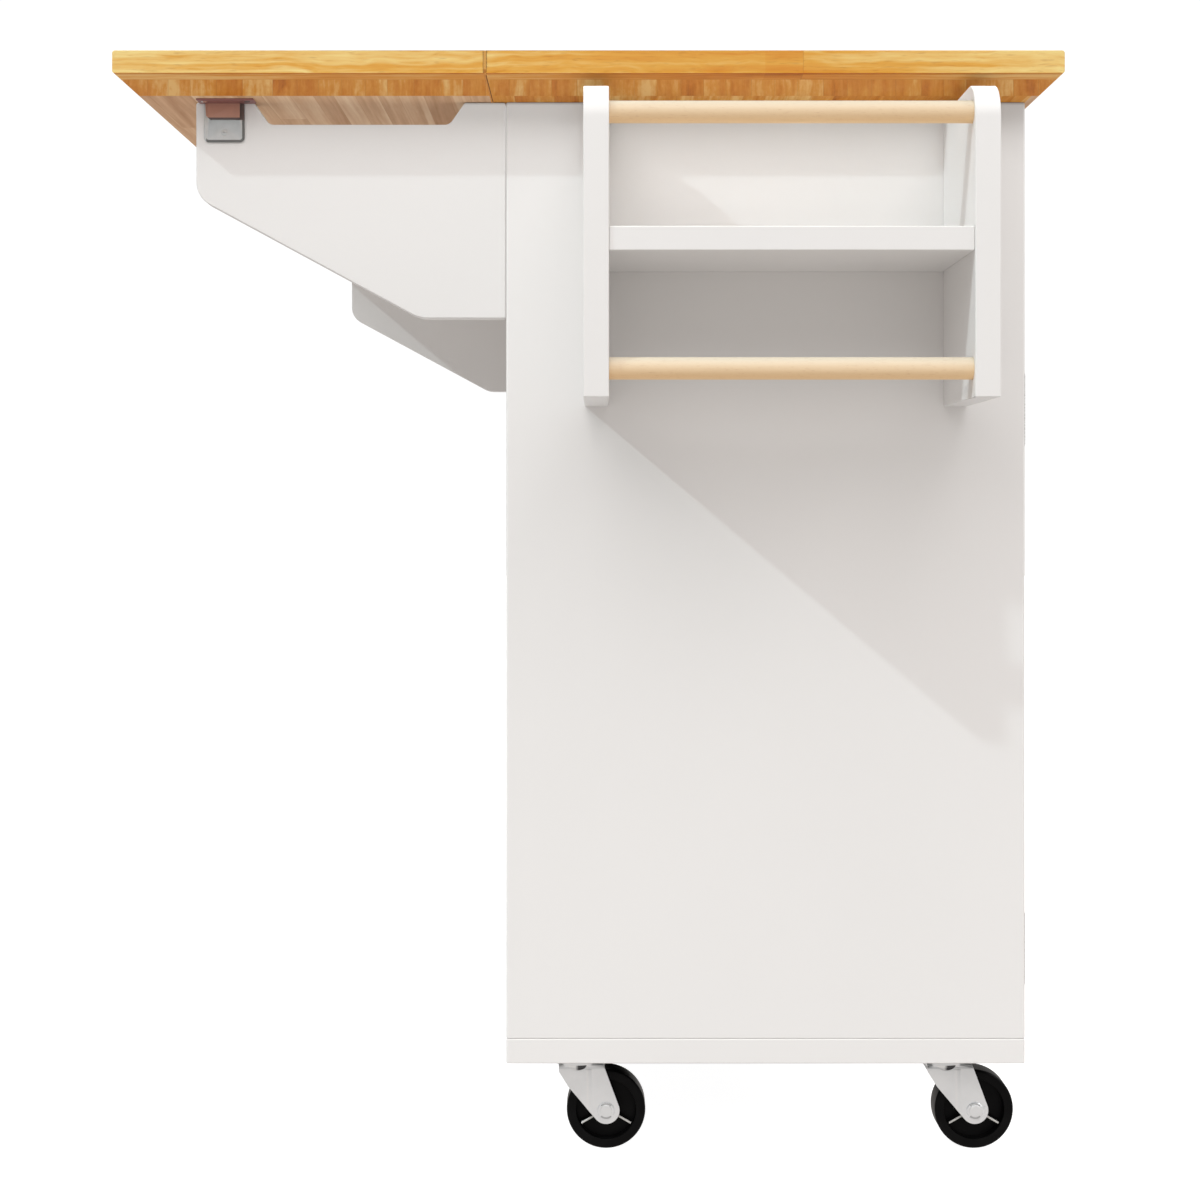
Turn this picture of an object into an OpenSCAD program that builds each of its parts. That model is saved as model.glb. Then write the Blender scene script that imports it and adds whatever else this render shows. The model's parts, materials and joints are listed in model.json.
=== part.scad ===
// Rolling kitchen island with a drop leaf, drawers, cupboards and an end rack.
// X runs from the drop leaf (-X) to the drawers and doors (+X), Y along the island,
// Z up from the floor. The origin is the middle of the whole footprint, on the floor.

/* [Worktop and leaf] */
// Thickness of the worktop and the leaf
top_t = 18; // [14:1:40]
// Depth of the drop leaf
leaf_w = 293.1; // [280:0.1:400]
// Open seam between the worktop and the leaf
seam = 1.2; // [1.1:0.1:3]
// Worktop past each end of the cabinet
end_overhang = 119; // [40:1:150]
// Worktop past the front of the cabinet
front_overhang = 7.4; // [2:0.1:20]
// Worktop past the back of the cabinet
back_overhang = 10.9; // [9:0.1:20]
// Rounding of the outer long edges
top_edge_r = 2.2; // [0.5:0.1:5]
// Rounding of the edges at the seam
seam_edge_r = 0.5; // [0.2:0.1:1.5]

/* [Cabinet] */
// Length of the cabinet
cab_len = 1142; // [1000:1:1600]
// Depth of the cabinet
cab_d = 438; // [400:1:600]
// Height of the cabinet, bottom board to worktop
cab_h = 811.5; // [700:0.5:950]
// Thickness of the sides and the partition
side_t = 18; // [15:0.5:25]
// Thickness of the bottom board
bottom_t = 21; // [18:0.5:30]
// Thickness of the back panel
back_t = 12; // [6:0.5:18]
// Thickness of the stretchers under the worktop
stretcher_t = 18; // [12:0.5:25]
// Width of the stretchers
stretcher_w = 80; // [40:1:120]
// Thickness of the rails between drawers and doors
rail_t = 18; // [12:0.5:25]
// Width of the rails between drawers and doors
rail_w = 90; // [50:1:150]
// Rounding of the upright edges of the sides
side_edge_r = 2; // [1:0.5:6]

/* [Drawers and doors] */
// Height of the drawer openings
drawer_open_h = 150; // [130:1:200]
// Thickness of drawer fronts and doors
front_t = 18; // [14:0.5:22]
// Gap round drawer fronts and doors
front_gap = 2.5; // [2:0.1:4]
// Width of the frame round each sunk field
field_frame = 50; // [30:1:70]
// Depth of the sunk field
field_sunk = 5; // [2:0.5:8]
// Thickness of the drawer box boards
box_t = 12; // [8:0.5:16]
// Height of the drawer box
box_h = 96; // [60:1:110]
// Clear space between the drawer box and the back panel
box_back = 38; // [30:1:60]
// Drawer box above the rail under it
box_up = 14; // [6:0.5:20]
// Thickness of the drawer bottom
box_bottom_t = 5; // [3:0.5:9]
// Drawer bottom above the lower edge of the box
box_bottom_up = 8; // [4:0.5:15]
// Drawer slides shorter than the drawer box
slide_short = 20; // [5:1:60]
// Height of the drawer slides
slide_h = 35; // [25:0.5:45]
// Space for one slide beside the drawer box
slide_w = 12.5; // [12:0.1:15]
// Sheet metal of the slides
slide_t = 1.2; // [1:0.1:1.5]
// Lips of the fixed slide member
slide_lip = 5; // [3:0.5:7]
// Depth of the fixed slide member out from the wall
slide_channel = 9.5; // [8:0.1:10.5]
// Diameter of the knobs
knob_d = 30; // [20:0.5:40]
// Knobs past the face of their front
knob_out = 24; // [18:0.5:32]
// Thickness of the knob's head
knob_head = 8; // [6:0.5:12]
// Diameter of the knob stem
knob_stem_d = 12; // [8:0.5:16]
// Diameter of the flange at the foot of the knob
knob_foot_d = 16; // [12:0.5:20]
// Thickness of the flange at the foot of the knob
knob_foot_h = 2; // [1:0.5:4]
// Door knobs in from the free edge
knob_in = 27; // [20:0.5:40]
// Door knobs down from the top edge
knob_down = 60; // [30:1:150]
// Length of a magnetic catch
catch_l = 46; // [30:1:60]
// Height and depth of a magnetic catch
catch_h = 13; // [10:0.5:18]

/* [Shelves] */
// Thickness of the adjustable shelves
shelf_t = 15; // [12:0.5:20]
// Underside of the shelves above the bottom board
shelf_up = 290; // [150:1:450]
// Front edge of the shelves behind the doors
shelf_back = 25; // [15:1:80]
// Diameter of the shelf pins
pin_d = 5; // [4:0.5:8]
// Length of the shelf pins in and out of the wall
pin_l = 8; // [6:0.5:8]
// Distance between pin holes up the wall
pin_pitch = 32; // [25:1:50]
// Pin holes in from the front and back edges
pin_in = 60; // [50:1:100]

/* [Leaf supports] */
// Length of a support out from the cabinet
support_l = 261; // [255:1:280]
// Height of a support at the cabinet
support_h = 182; // [140:0.5:220]
// Height of a support at its free edge
support_end_h = 80; // [60:1:100]
// Level foot at the bottom of a support
support_foot = 72.5; // [50:0.5:100]
// Thickness of a support
support_t = 18; // [15:0.5:25]
// Gap between a support and the cabinet
support_gap = 0.6; // [0.5:0.1:2]
// Width of the notch at the top edge
notch_w = 178; // [150:1:180]
// Width of the notch at its bottom
notch_floor_w = 152; // [120:1:165]
// Depth of the notch
notch_h = 18.6; // [10:0.1:25]
// Rounding of the corners in the notch
notch_r = 8; // [3:0.5:12]
// Rounding of the support's corners at the cabinet
support_heel_r = 1.5; // [0.5:0.5:4]
// Bend from the foot to the slanted edge
support_bend_r = 30; // [10:1:40]
// Bend from the slanted edge to the free edge
support_nose_r = 22; // [10:1:30]
// Rounding of the top corner at the free edge
support_tip_r = 2; // [0.5:0.5:6]
// Support hinges in from the ends of the corner that they sit in
support_hinge_in = 8; // [4:1:12]
// Notch in from the free edge
notch_in = 48.7; // [45:0.1:55]
// Sheet metal of the keeper angles
keeper_t = 1.6; // [1.2:0.1:2.5]
// Length of the keeper flange under the leaf
keeper_top_l = 48; // [36:1:60]
// Width of the keeper flange under the leaf
keeper_top_w = 17; // [12:0.5:25]
// Keeper flange in from the free edge of the support
keeper_in = 3; // [1:0.5:6]
// Keeper's hanging flange in from the free edge of the support
keeper_drop_in = 7; // [4:0.5:12]
// Length of the keeper flange on the support
keeper_drop_l = 34; // [24:1:36]
// Height of the keeper flange on the support
keeper_drop_h = 34; // [20:1:40]
// Rounding of the keeper's lower corners
keeper_r = 4; // [2:0.5:8]
// Length of the folded tab that stiffens the keeper
keeper_tab_l = 28; // [18:1:32]
// Height of the folded tab
keeper_tab_h = 15.5; // [9:0.5:20]
// Radius of the hole in the keeper
keeper_hole_r = 2; // [1.5:0.1:3]
// Hole in the keeper below the leaf
keeper_hole_down = 26; // [12:1:28]

/* [Rack] */
// Rack out from the cabinet side
rack_out = 152; // [120:1:200]
// Width of the rack over its side boards
rack_w = 322.8; // [250:0.1:330]
// Rack in from the back edge of the cabinet side
rack_in = 66.2; // [20:0.1:75]
// Height of the rack side boards
rack_h = 245.2; // [220:0.1:320]
// Thickness of the rack side boards
rack_t = 20; // [15:0.5:25]
// Rack below the underside of the worktop
rack_down = 11.6; // [2:0.1:30]
// Radius of the upper front corner
rack_corner_r = 28; // [10:1:40]
// Radius of the lower front corner
rack_foot_r = 1; // [1:0.5:10]
// Thickness of the rack shelf
rack_shelf_t = 19; // [12:0.5:25]
// Underside of the rack shelf above the rack's lower edge
rack_shelf_up = 113.5; // [90:0.5:130]
// Rack shelf behind the front edge of the side boards
rack_shelf_back = 2; // [1:0.5:10]
// Diameter of the rail and the towel bar
rod_d = 17.5; // [12:0.5:25]
// Rods behind the front edge of the side boards
rod_in = 14; // [12.5:0.5:30]
// Rail below the top of the rack
rail_down = 22.5; // [16:0.5:40]
// Towel bar above the lower edge of the rack
bar_up = 23; // [14:0.5:40]
// Depth of the rod sockets in the side boards
rod_socket = 8; // [5:0.5:12]

/* [Casters] */
// Height from the floor to the bottom board
caster_h = 84.5; // [83:0.5:100]
// Diameter of the wheels
wheel_d = 68; // [60:0.5:70]
// Width of the tread
wheel_w = 25; // [18:0.5:28]
// Thickness of the wheel web
web_t = 7; // [4:0.5:12]
// Inner radius of the tread ring
rim_r = 26; // [22:0.5:28]
// Radius of the wheel hub
hub_r = 9; // [7:0.5:12]
// Hub past each side of the tread
hub_out = 1; // [0.5:0.1:2]
// Room between the wheel and the crown of the fork
wheel_room = 3; // [2.5:0.5:5]
// Rounding of the tread's edges
tread_r = 2.5; // [1:0.5:4]
// Thickness of the ribs on the web
rib_t = 1.8; // [1.5:0.1:4]
// Ribs behind the faces of the tread
rib_back = 2; // [1:0.5:4]
// Axle behind the swivel centre
trail = 24.5; // [20:0.5:30]
// Sheet metal of the fork and the top plate
fork_t = 2.5; // [2:0.1:3]
// Radius of the fork round the axle
fork_r = 11.7; // [11:0.1:15]
// Front edge of the fork from the swivel centre
fork_lead = 16.3; // [12:0.1:18]
// Back edge of the fork crown from the swivel centre
fork_tail = 22.3; // [18:0.1:26]
// Straight part of the fork's front edge below the crown
fork_shoulder = 6; // [3:0.1:10]
// Neck of the fork's legs below the crown
fork_neck = 19; // [15:0.5:26]
// Outer radius of the fork's bends
fork_bend_r = 4; // [3.2:0.1:5]
// Pressed rib of the fork's legs back from the swivel centre
crease_in = 9.5; // [6:0.5:12]
// Width of the pressed rib
crease_w = 6; // [4:0.5:8]
// Pressed rib out from the leg
crease_h = 0.6; // [0.4:0.1:1]
// Radius of the swivel race
race_r = 19; // [16:0.5:21]
// Rounding of the race cups' lower rims
race_lip = 2; // [0.5:0.1:2.2]
// Ball circle in from the outside of the race
race_wall = 4.2; // [4:0.1:5]
// Diameter of the race's balls
ball_d = 3.2; // [2.4:0.1:3.4]
// Balls in each race
ball_count = 12; // [8:1:14]
// Diameter of the axle
axle_d = 8; // [6:0.5:8.5]
// Diameter of the kingpin
kingpin_d = 9; // [7:0.5:12]
// Kingpin's rivet head wider than the kingpin
rivet_over = 4; // [2:0.5:6]
// Thickness of the rivet heads
rivet_h = 1.5; // [1:0.1:2]
// Diameter of the axle's heads
axle_head_d = 15; // [13:0.5:18]
// Diameter of the axle's riveted ends
axle_end_d = 10; // [9:0.5:12]
// Length of the top plate across the island
plate_l = 60; // [54:1:70]
// Width of the top plate along the island
plate_w = 50; // [46:1:60]
// Rounding of the top plate's corners
plate_r = 5; // [2:0.5:8]
// Screw holes in from the edges of the top plate
plate_hole_in = 7; // [6:0.5:8]
// Caster centres in from the front and back edges
caster_in_x = 60; // [59:0.5:100]
// Caster centres in from the ends
caster_in_y = 55; // [45:0.5:120]
// Radius of the caster screws
screw_r = 2.4; // [1.8:0.1:3]
// Length of the caster screws into the board
screw_l = 13; // [8:0.5:15]
// Radius of the caster screws' heads
screw_head_r = 4.4; // [3.5:0.1:5]
// Height of the caster screws' heads
screw_head_h = 2; // [1:0.1:3]

/* [Hinges] */
// Length of the door and support hinges
hinge_l = 60; // [45:1:75]
// Width of the door and support hinge leaves
hinge_w = 17; // [14:0.5:18]
// Radius of the door and support hinge knuckles
knuckle_r = 1.8; // [1.7:0.1:3]
// Radius of the door and support hinge pins
hinge_pin_r = 0.9; // [0.7:0.1:1.1]
// Door hinges in from the ends of the door
hinge_in = 70; // [50:1:110]
// Thickness of the heads on the hinge pins
pin_head = 1; // [0.8:0.1:2]
// Length of the leaf hinges
leaf_hinge_l = 76; // [60:1:100]
// Width of the leaf hinge leaves
leaf_hinge_w = 30; // [20:0.5:40]
// Sheet metal of the leaf hinges
leaf_hinge_t = 1.8; // [1.5:0.1:2.5]
// Radius of the leaf hinge knuckles
leaf_knuckle_r = 3.2; // [2.8:0.1:3.5]
// Radius of the leaf hinge pins
leaf_pin_r = 1.6; // [1.2:0.1:1.8]
// Radius of the screw holes in the hinges
hinge_hole_r = 1.9; // [1.5:0.1:2.2]
// Screw holes in from the outer edge of a hinge leaf
hinge_hole_in = 6.8; // [5:0.1:9]

/* [Fits] */
// Radial clearance of pins and axles
run_fit = 0.05; // [0.02:0.01:0.09]
// Clearance between pieces that move past each other
slip = 0.3; // [0.2:0.05:0.4]
// Radial play of the screws in the caster plates
screw_play = 0.4; // [0.2:0.1:0.8]

/* [Hidden] */
$fn = 48;

paint = [0.91, 0.905, 0.895];
wood = [0.86, 0.66, 0.36];
beech = [0.92, 0.8, 0.63];
zinc = [0.78, 0.78, 0.77];
steel = [0.66, 0.67, 0.67];
rubber = [0.06, 0.06, 0.06];

// Footprint: the leaf's edge to the knobs, and the rack to the far end of the worktop
reach_front = max(knob_out, front_overhang);
reach_near = max(rack_out, end_overhang);
top_w = cab_d + front_overhang + back_overhang;
top_l = cab_len + 2 * end_overhang;
total_x = leaf_w + seam + back_overhang + cab_d + reach_front;
total_y = reach_near + cab_len + end_overhang;

leaf_x0 = -total_x / 2;
leaf_x1 = leaf_x0 + leaf_w;
top_x0 = leaf_x1 + seam;
back_x = top_x0 + back_overhang;
front_x = back_x + cab_d;
near_y = -total_y / 2 + reach_near;
far_y = near_y + cab_len;
mid_y = (near_y + far_y) / 2;
top_y0 = near_y - end_overhang;

floor_z = caster_h + bottom_t;
under_z = caster_h + cab_h;
drawer_z1 = under_z - stretcher_t;
drawer_z0 = drawer_z1 - drawer_open_h;
door_z1 = drawer_z0 - rail_t;

// The two bays, each with its walls' inner faces
bay_w = (cab_len - 3 * side_t) / 2;
bay_y = [near_y + side_t, near_y + 2 * side_t + bay_w];
inner_x = back_x + back_t;
behind_x = front_x - front_t;

// Each door: the wall it hangs on and the way it reaches from that wall
door_w = (bay_w - 3 * front_gap) / 2;
door_h = door_z1 - floor_z - 2 * front_gap;
door_wall = [bay_y[0], bay_y[0] + bay_w, bay_y[1], bay_y[1] + bay_w];
door_way = [1, -1, 1, -1];
hinge_t = front_gap / 2 - slip;
door_axis_x = front_x + knuckle_r + slip;
door_hinge_z = [floor_z + front_gap + hinge_in, door_z1 - front_gap - hinge_in];

drawer_w = bay_w - 2 * front_gap;
drawer_h = drawer_open_h - 2 * front_gap;
box_w = bay_w - 2 * slide_w;
box_len = behind_x - inner_x - box_back;
box_z = drawer_z0 + box_up;
slide_l = box_len - slide_short;
slide_z = box_z + box_h / 2;
slide_x1 = behind_x - slip;

// Supports stand flush with the cabinet's ends and turn on pins in their inner corners
support_x1 = back_x - support_gap;
support_top = under_z - slip;
support_pin = knuckle_r + slip;
support_axis_x = back_x - support_pin;
support_axis_y = [near_y + support_t + support_pin, far_y - support_t - support_pin];
support_hinge_z = [
  support_top - support_h + support_hinge_in + hinge_l / 2,
  support_top - notch_h - support_hinge_in - hinge_l / 2
];
notch_s = support_l - notch_in - notch_w / 2;

leaf_axis_x = (leaf_x1 + top_x0) / 2;
leaf_axis_z = under_z + leaf_hinge_t - leaf_knuckle_r - slip;
leaf_hinge_y = [
  support_axis_y[0] + notch_s,
  mid_y,
  support_axis_y[1] - notch_s
];

rack_x = back_x + rack_in;
rack_y = near_y - rack_out;
rack_z = under_z - rack_down - rack_h;
rod_l = rack_w - 2 * rack_t + 2 * (rod_socket - slip);

// Casters stand two at each end, the back one first
caster_x = [back_x + caster_in_x, front_x - caster_in_x, back_x + caster_in_x, front_x - caster_in_x];
caster_y = [near_y + caster_in_y, near_y + caster_in_y, far_y - caster_in_y, far_y - caster_in_y];
hub_w = wheel_w + 2 * hub_out;
fork_gap = hub_w + 2 * slip;
crown_z = wheel_d + wheel_room + fork_t;
fork_out = fork_gap / 2 + fork_t;
race_h = (caster_h - fork_t - crown_z - slip) / 2;
ball_r = race_r - race_wall;
ball_z = crown_z + race_h + slip / 2;

function unit(v) = v / norm(v);
function tangent(p, c, r, side) =
  let (d = norm(c - p), a = atan2(c[1] - p[1], c[0] - p[0]) + side * asin(r / d))
  p + sqrt(d * d - r * r) * [cos(a), sin(a)];

// A polygon whose corners are true arcs, all of them bulging outwards
module rounded(points, radii) {
  n = len(points);
  before = [for (i = [0:n - 1]) unit(points[(i + n - 1) % n] - points[i])];
  after = [for (i = [0:n - 1]) unit(points[(i + 1) % n] - points[i])];
  half = [for (i = [0:n - 1]) acos(before[i] * after[i]) / 2];
  polygon([
    for (i = [0:n - 1])
      for (way = radii[i] > 0 ? [before[i], after[i]] : [[0, 0]])
        points[i] + way * radii[i] / tan(half[i])
  ]);
  for (i = [0:n - 1])
    if (radii[i] > 0)
      translate(points[i] + unit(before[i] + after[i]) * radii[i] / sin(half[i]))
        circle(r = radii[i]);
}

module block(x, y, z) {
  translate([x[0], y[0], z[0]]) cube([x[1] - x[0], y[1] - y[0], z[1] - z[0]]);
}

// Worktop and leaf

// Cross-section of a top board, drawn in X and Z and run along Y, with its two edges' rounding
module top_section(x0, x1, r0, r1) {
  corners = [[x0, under_z], [x1, under_z], [x1, under_z + top_t], [x0, under_z + top_t]];
  translate([0, top_y0 + top_l, 0]) rotate([90, 0, 0]) linear_extrude(top_l)
    rounded(corners, [r0, r1, r1, r0]);
}

// Sunk seats for the leaf hinges, reaching from the seam into one board
module leaf_hinge_seats(way) {
  for (y = leaf_hinge_y)
    translate([leaf_axis_x + way * (leaf_hinge_w + slip) / 2, y, under_z + leaf_hinge_t / 2 - 1])
      cube([leaf_hinge_w + slip, leaf_hinge_l + 2 * slip, leaf_hinge_t + 2], center = true);
}

module worktop() {
  color(wood) difference() {
    top_section(top_x0, top_x0 + top_w, seam_edge_r, top_edge_r);
    leaf_hinge_seats(1);
  }
}

module leaf_board() {
  color(wood) difference() {
    top_section(leaf_x0, leaf_x1, top_edge_r, seam_edge_r);
    leaf_hinge_seats(-1);
  }
}

// Hinges: local Z runs along the pin, X away from it along the leaf, Y towards the board

module wing(l, w, face, t, r, pin_r, outer, holes) {
  seg = l / 3;
  difference() {
    union() {
      translate([slip, face - t, -l / 2]) cube([w - slip, t, l]);
      if (outer) {
        for (s = [-1, 1])
          translate([0, 0, s * (seg + slip / 4)]) cylinder(r = r, h = seg - slip / 2, center = true);
      } else {
        cylinder(r = r, h = seg - slip, center = true);
      }
    }
    if (outer) {
      cylinder(r = r + slip, h = seg + slip, center = true);
    } else {
      for (s = [-1, 1])
        translate([0, 0, s * l / 2]) cylinder(r = r + slip, h = l - seg + slip, center = true);
    }
    cylinder(r = pin_r + run_fit, h = l + 2, center = true);
    for (z = holes)
      translate([w - hinge_hole_in, face, z]) rotate([90, 0, 0])
        cylinder(r = hinge_hole_r, h = 3 * t, center = true);
  }
}

module small_wing(face, outer) {
  wing(hinge_l, hinge_w, face, hinge_t, knuckle_r, hinge_pin_r, outer, [-hinge_l / 3, hinge_l / 3]);
}

module leaf_wing(outer) {
  face = under_z + leaf_hinge_t - leaf_axis_z;
  holes = [-leaf_hinge_l / 3, 0, leaf_hinge_l / 3];
  wing(leaf_hinge_l, leaf_hinge_w, face, leaf_hinge_t, leaf_knuckle_r, leaf_pin_r, outer, holes);
}

// Places at the two hinges of a door
module at_door_hinges(i) {
  for (z = door_hinge_z)
    translate([door_axis_x, door_wall[i] + door_way[i] * front_gap / 2, z]) children();
}

module at_support_hinges(i) {
  for (z = support_hinge_z)
    translate([support_axis_x, support_axis_y[i], z]) children();
}

module hinge_plates() {
  color(steel) {
    for (i = [0:3])
      at_door_hinges(i)
        rotate(door_way[i] > 0 ? [0, 0, 180] : [0, 180, 0]) small_wing(front_gap / 2, true);
    at_support_hinges(0) rotate(a = 180, v = [1, 1, 0]) small_wing(support_pin, true);
    at_support_hinges(1) rotate([0, 0, -90]) small_wing(support_pin, true);
  }
}

module door_wings(i) {
  color(steel) at_door_hinges(i)
    rotate(door_way[i] > 0 ? [0, 180, 0] : [0, 0, 180]) small_wing(front_gap / 2, false);
}

module support_wings(i) {
  color(steel) at_support_hinges(i)
    rotate(i == 0 ? [0, 0, 180] : [0, 180, 0]) small_wing(support_pin, false);
}

module leaf_hinge_plates() {
  color(steel) for (y = leaf_hinge_y)
    translate([leaf_axis_x, y, leaf_axis_z]) rotate([90, 0, 0]) leaf_wing(true);
}

module leaf_hinge_wings() {
  color(steel) for (y = leaf_hinge_y)
    translate([leaf_axis_x, y, leaf_axis_z]) rotate([90, 0, 180]) leaf_wing(false);
}

// A pin with a small head at each end
module headed_pin() {
  cylinder(r = hinge_pin_r, h = hinge_l, center = true);
  for (s = [-1, 1])
    translate([0, 0, s * (hinge_l + pin_head) / 2])
      cylinder(r = knuckle_r - slip, h = pin_head, center = true);
}

module hinge_pins() {
  color(zinc) {
    for (i = [0:3])
      at_door_hinges(i) headed_pin();
    for (i = [0:1])
      at_support_hinges(i) headed_pin();
    for (y = leaf_hinge_y)
      translate([leaf_axis_x, y, leaf_axis_z]) rotate([90, 0, 0])
        cylinder(r = leaf_pin_r, h = leaf_hinge_l, center = true);
  }
}

// Cabinet

// Holes for the shelf pins, on one face of a wall, the outward way of that face given
module pin_holes(y, way) {
  for (x = [inner_x + pin_in, behind_x - shelf_back - pin_in])
    for (row = [-1:1])
      translate([x, y, floor_z + shelf_up - pin_d / 2 + row * pin_pitch])
        rotate([way * 90, 0, 0]) cylinder(d = pin_d + 2 * run_fit, h = 2 * (pin_l + slip), center = true);
}

// An upright side with its outer edges rounded, the outer face on the given side
module side_panel(y0, outer) {
  corners = [[back_x, y0], [front_x, y0], [front_x, y0 + side_t], [back_x, y0 + side_t]];
  radii = outer < 0 ? [side_edge_r, side_edge_r, 0, 0] : [0, 0, side_edge_r, side_edge_r];
  translate([0, 0, floor_z]) linear_extrude(under_z - floor_z) rounded(corners, radii);
}

module side_panel_near() {
  color(paint) difference() {
    side_panel(near_y, -1);
    pin_holes(bay_y[0], 1);
  }
}

module side_panel_far() {
  color(paint) difference() {
    side_panel(far_y - side_t, 1);
    pin_holes(bay_y[1] + bay_w, 1);
  }
}

module partition() {
  y0 = bay_y[0] + bay_w;
  color(paint) difference() {
    block([inner_x, front_x], [y0, y0 + side_t], [floor_z, drawer_z1]);
    pin_holes(y0, 1);
    pin_holes(y0 + side_t, 1);
  }
}

module at_casters() {
  for (i = [0:3])
    translate([caster_x[i], caster_y[i], 0]) children();
}

module at_plate_screws() {
  for (sx = [-1, 1], sy = [-1, 1])
    translate([sx * (plate_l / 2 - plate_hole_in), sy * (plate_w / 2 - plate_hole_in), 0]) children();
}

module bottom_board() {
  e = side_edge_r;
  corners = [[back_x, near_y], [front_x, near_y], [front_x, far_y], [back_x, far_y]];
  color(paint) difference() {
    translate([0, 0, caster_h]) linear_extrude(bottom_t) rounded(corners, [e, e, e, e]);
    at_casters() at_plate_screws()
      translate([0, 0, caster_h - 1]) cylinder(r = screw_r + run_fit, h = screw_l + 2);
  }
}

module back_panel() {
  color(paint) block([back_x, inner_x], [near_y + side_t, far_y - side_t], [floor_z, under_z]);
}

module front_stretcher() {
  color(paint)
    block([front_x - stretcher_w, front_x], [near_y + side_t, far_y - side_t], [drawer_z1, under_z]);
}

module back_stretcher() {
  color(paint)
    block([inner_x, inner_x + stretcher_w], [near_y + side_t, far_y - side_t], [drawer_z1, under_z]);
}

module drawer_rails() {
  color(paint) for (y = bay_y)
    block([front_x - rail_w, front_x], [y, y + bay_w], [door_z1, drawer_z0]);
}

module shelf(i) {
  x = [inner_x + slip, behind_x - shelf_back];
  y = [bay_y[i] + slip, bay_y[i] + bay_w - slip];
  z = floor_z + shelf_up;
  color(paint) block(x, y, [z, z + shelf_t]);
}

// Pins half in the wall and half under the shelf
module shelf_pins() {
  color(zinc) for (y = bay_y, s = [0, 1], x = [inner_x + pin_in, behind_x - shelf_back - pin_in])
    translate([x, y + s * bay_w, floor_z + shelf_up - pin_d / 2]) rotate([90, 0, 0])
      cylinder(d = pin_d, h = 2 * pin_l, center = true);
}

// Magnetic catches under the rails, where each pair of doors meets
module door_catches() {
  color(zinc) for (y = bay_y)
    translate([behind_x - slip - catch_h, y + bay_w / 2 - catch_l / 2, door_z1 - catch_h])
      cube([catch_h, catch_l, catch_h]);
}

// Drawers and doors

// A board in the front's plane with a sunk field in its face
module framed_front(y0, w, z0, h) {
  f = field_frame;
  difference() {
    block([behind_x, front_x], [y0, y0 + w], [z0, z0 + h]);
    block([front_x - field_sunk, front_x + 1], [y0 + f, y0 + w - f], [z0 + f, z0 + h - f]);
  }
}

module door(i) {
  y0 = door_wall[i] + (door_way[i] > 0 ? front_gap : -front_gap - door_w);
  color(paint) framed_front(y0, door_w, floor_z + front_gap, door_h);
}

// A turned knob, its base on the face at the origin, pointing along X
module knob() {
  rotate([0, 90, 0]) rotate_extrude() {
    rim = (knob_d - knob_head) / 2;
    square([knob_stem_d / 2, knob_out - knob_head / 2]);
    square([knob_foot_d / 2, knob_foot_h]);
    translate([0, knob_out - knob_head]) square([rim, knob_head]);
    translate([rim, knob_out - knob_head / 2]) circle(d = knob_head);
  }
}

module door_knob(i) {
  y = door_wall[i] + door_way[i] * (front_gap + door_w - knob_in);
  color(zinc) translate([front_x, y, door_z1 - front_gap - knob_down]) knob();
}

module drawer_front(i) {
  y0 = bay_y[i] + front_gap;
  z0 = drawer_z0 + front_gap;
  color(paint) block([behind_x, front_x], [y0, y0 + drawer_w], [z0, z0 + drawer_h]);
}

module drawer_knob(i) {
  color(zinc) translate([front_x, bay_y[i] + bay_w / 2, drawer_z0 + drawer_open_h / 2]) knob();
}

// Five boards: two sides, a front and a back between them, and the bottom
module drawer_box(i) {
  x0 = behind_x - box_len;
  y0 = bay_y[i] + slide_w;
  y1 = y0 + box_w;
  z = [box_z, box_z + box_h];
  bottom_z = box_z + box_bottom_up;
  color(wood) {
    block([x0, behind_x], [y0, y0 + box_t], z);
    block([x0, behind_x], [y1 - box_t, y1], z);
    block([x0, x0 + box_t], [y0 + box_t, y1 - box_t], z);
    block([behind_x - box_t, behind_x], [y0 + box_t, y1 - box_t], z);
    block([x0 + box_t, behind_x - box_t], [y0 + box_t, y1 - box_t], [bottom_z, bottom_z + box_bottom_t]);
  }
}

// Fixed member: a channel with lips. Local X runs out from the wall, Y up
module runner_section() {
  t = slide_t;
  h = slide_h / 2;
  for (s = [-1, 1]) {
    translate([0, s > 0 ? h - t : -h]) square([slide_channel, t]);
    translate([slide_channel - t, s > 0 ? h - slide_lip : -h]) square([t, slide_lip]);
  }
  translate([0, -h]) square([t, 2 * h]);
}

// Moving member: a channel on the drawer whose hooks run behind the fixed lips
module slide_section() {
  t = slide_t;
  hook = slide_h / 2 - t - slip;
  waist = slide_h / 2 - slide_lip - slip;
  hook_x = slide_channel - 2 * t - slip;
  translate([slide_w - t, -waist]) square([t, 2 * waist]);
  for (s = [-1, 1]) {
    translate([hook_x, s > 0 ? waist - t : -waist]) square([slide_w - hook_x, t]);
    translate([hook_x, s > 0 ? waist - t : -hook]) square([t, hook - waist + t]);
  }
}

// Places a section on both walls of a bay and runs it back from the front
module on_both_walls(i) {
  for (s = [0, 1])
    translate([slide_x1, bay_y[i] + s * bay_w, slide_z]) mirror([0, s, 0])
      rotate([90, 0, -90]) mirror([1, 0, 0]) linear_extrude(slide_l) children();
}

module drawer_runners() {
  color(zinc) {
    on_both_walls(0) runner_section();
    on_both_walls(1) runner_section();
  }
}

module drawer_slides(i) {
  color(zinc) on_both_walls(i) slide_section();
}

// Leaf supports

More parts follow.
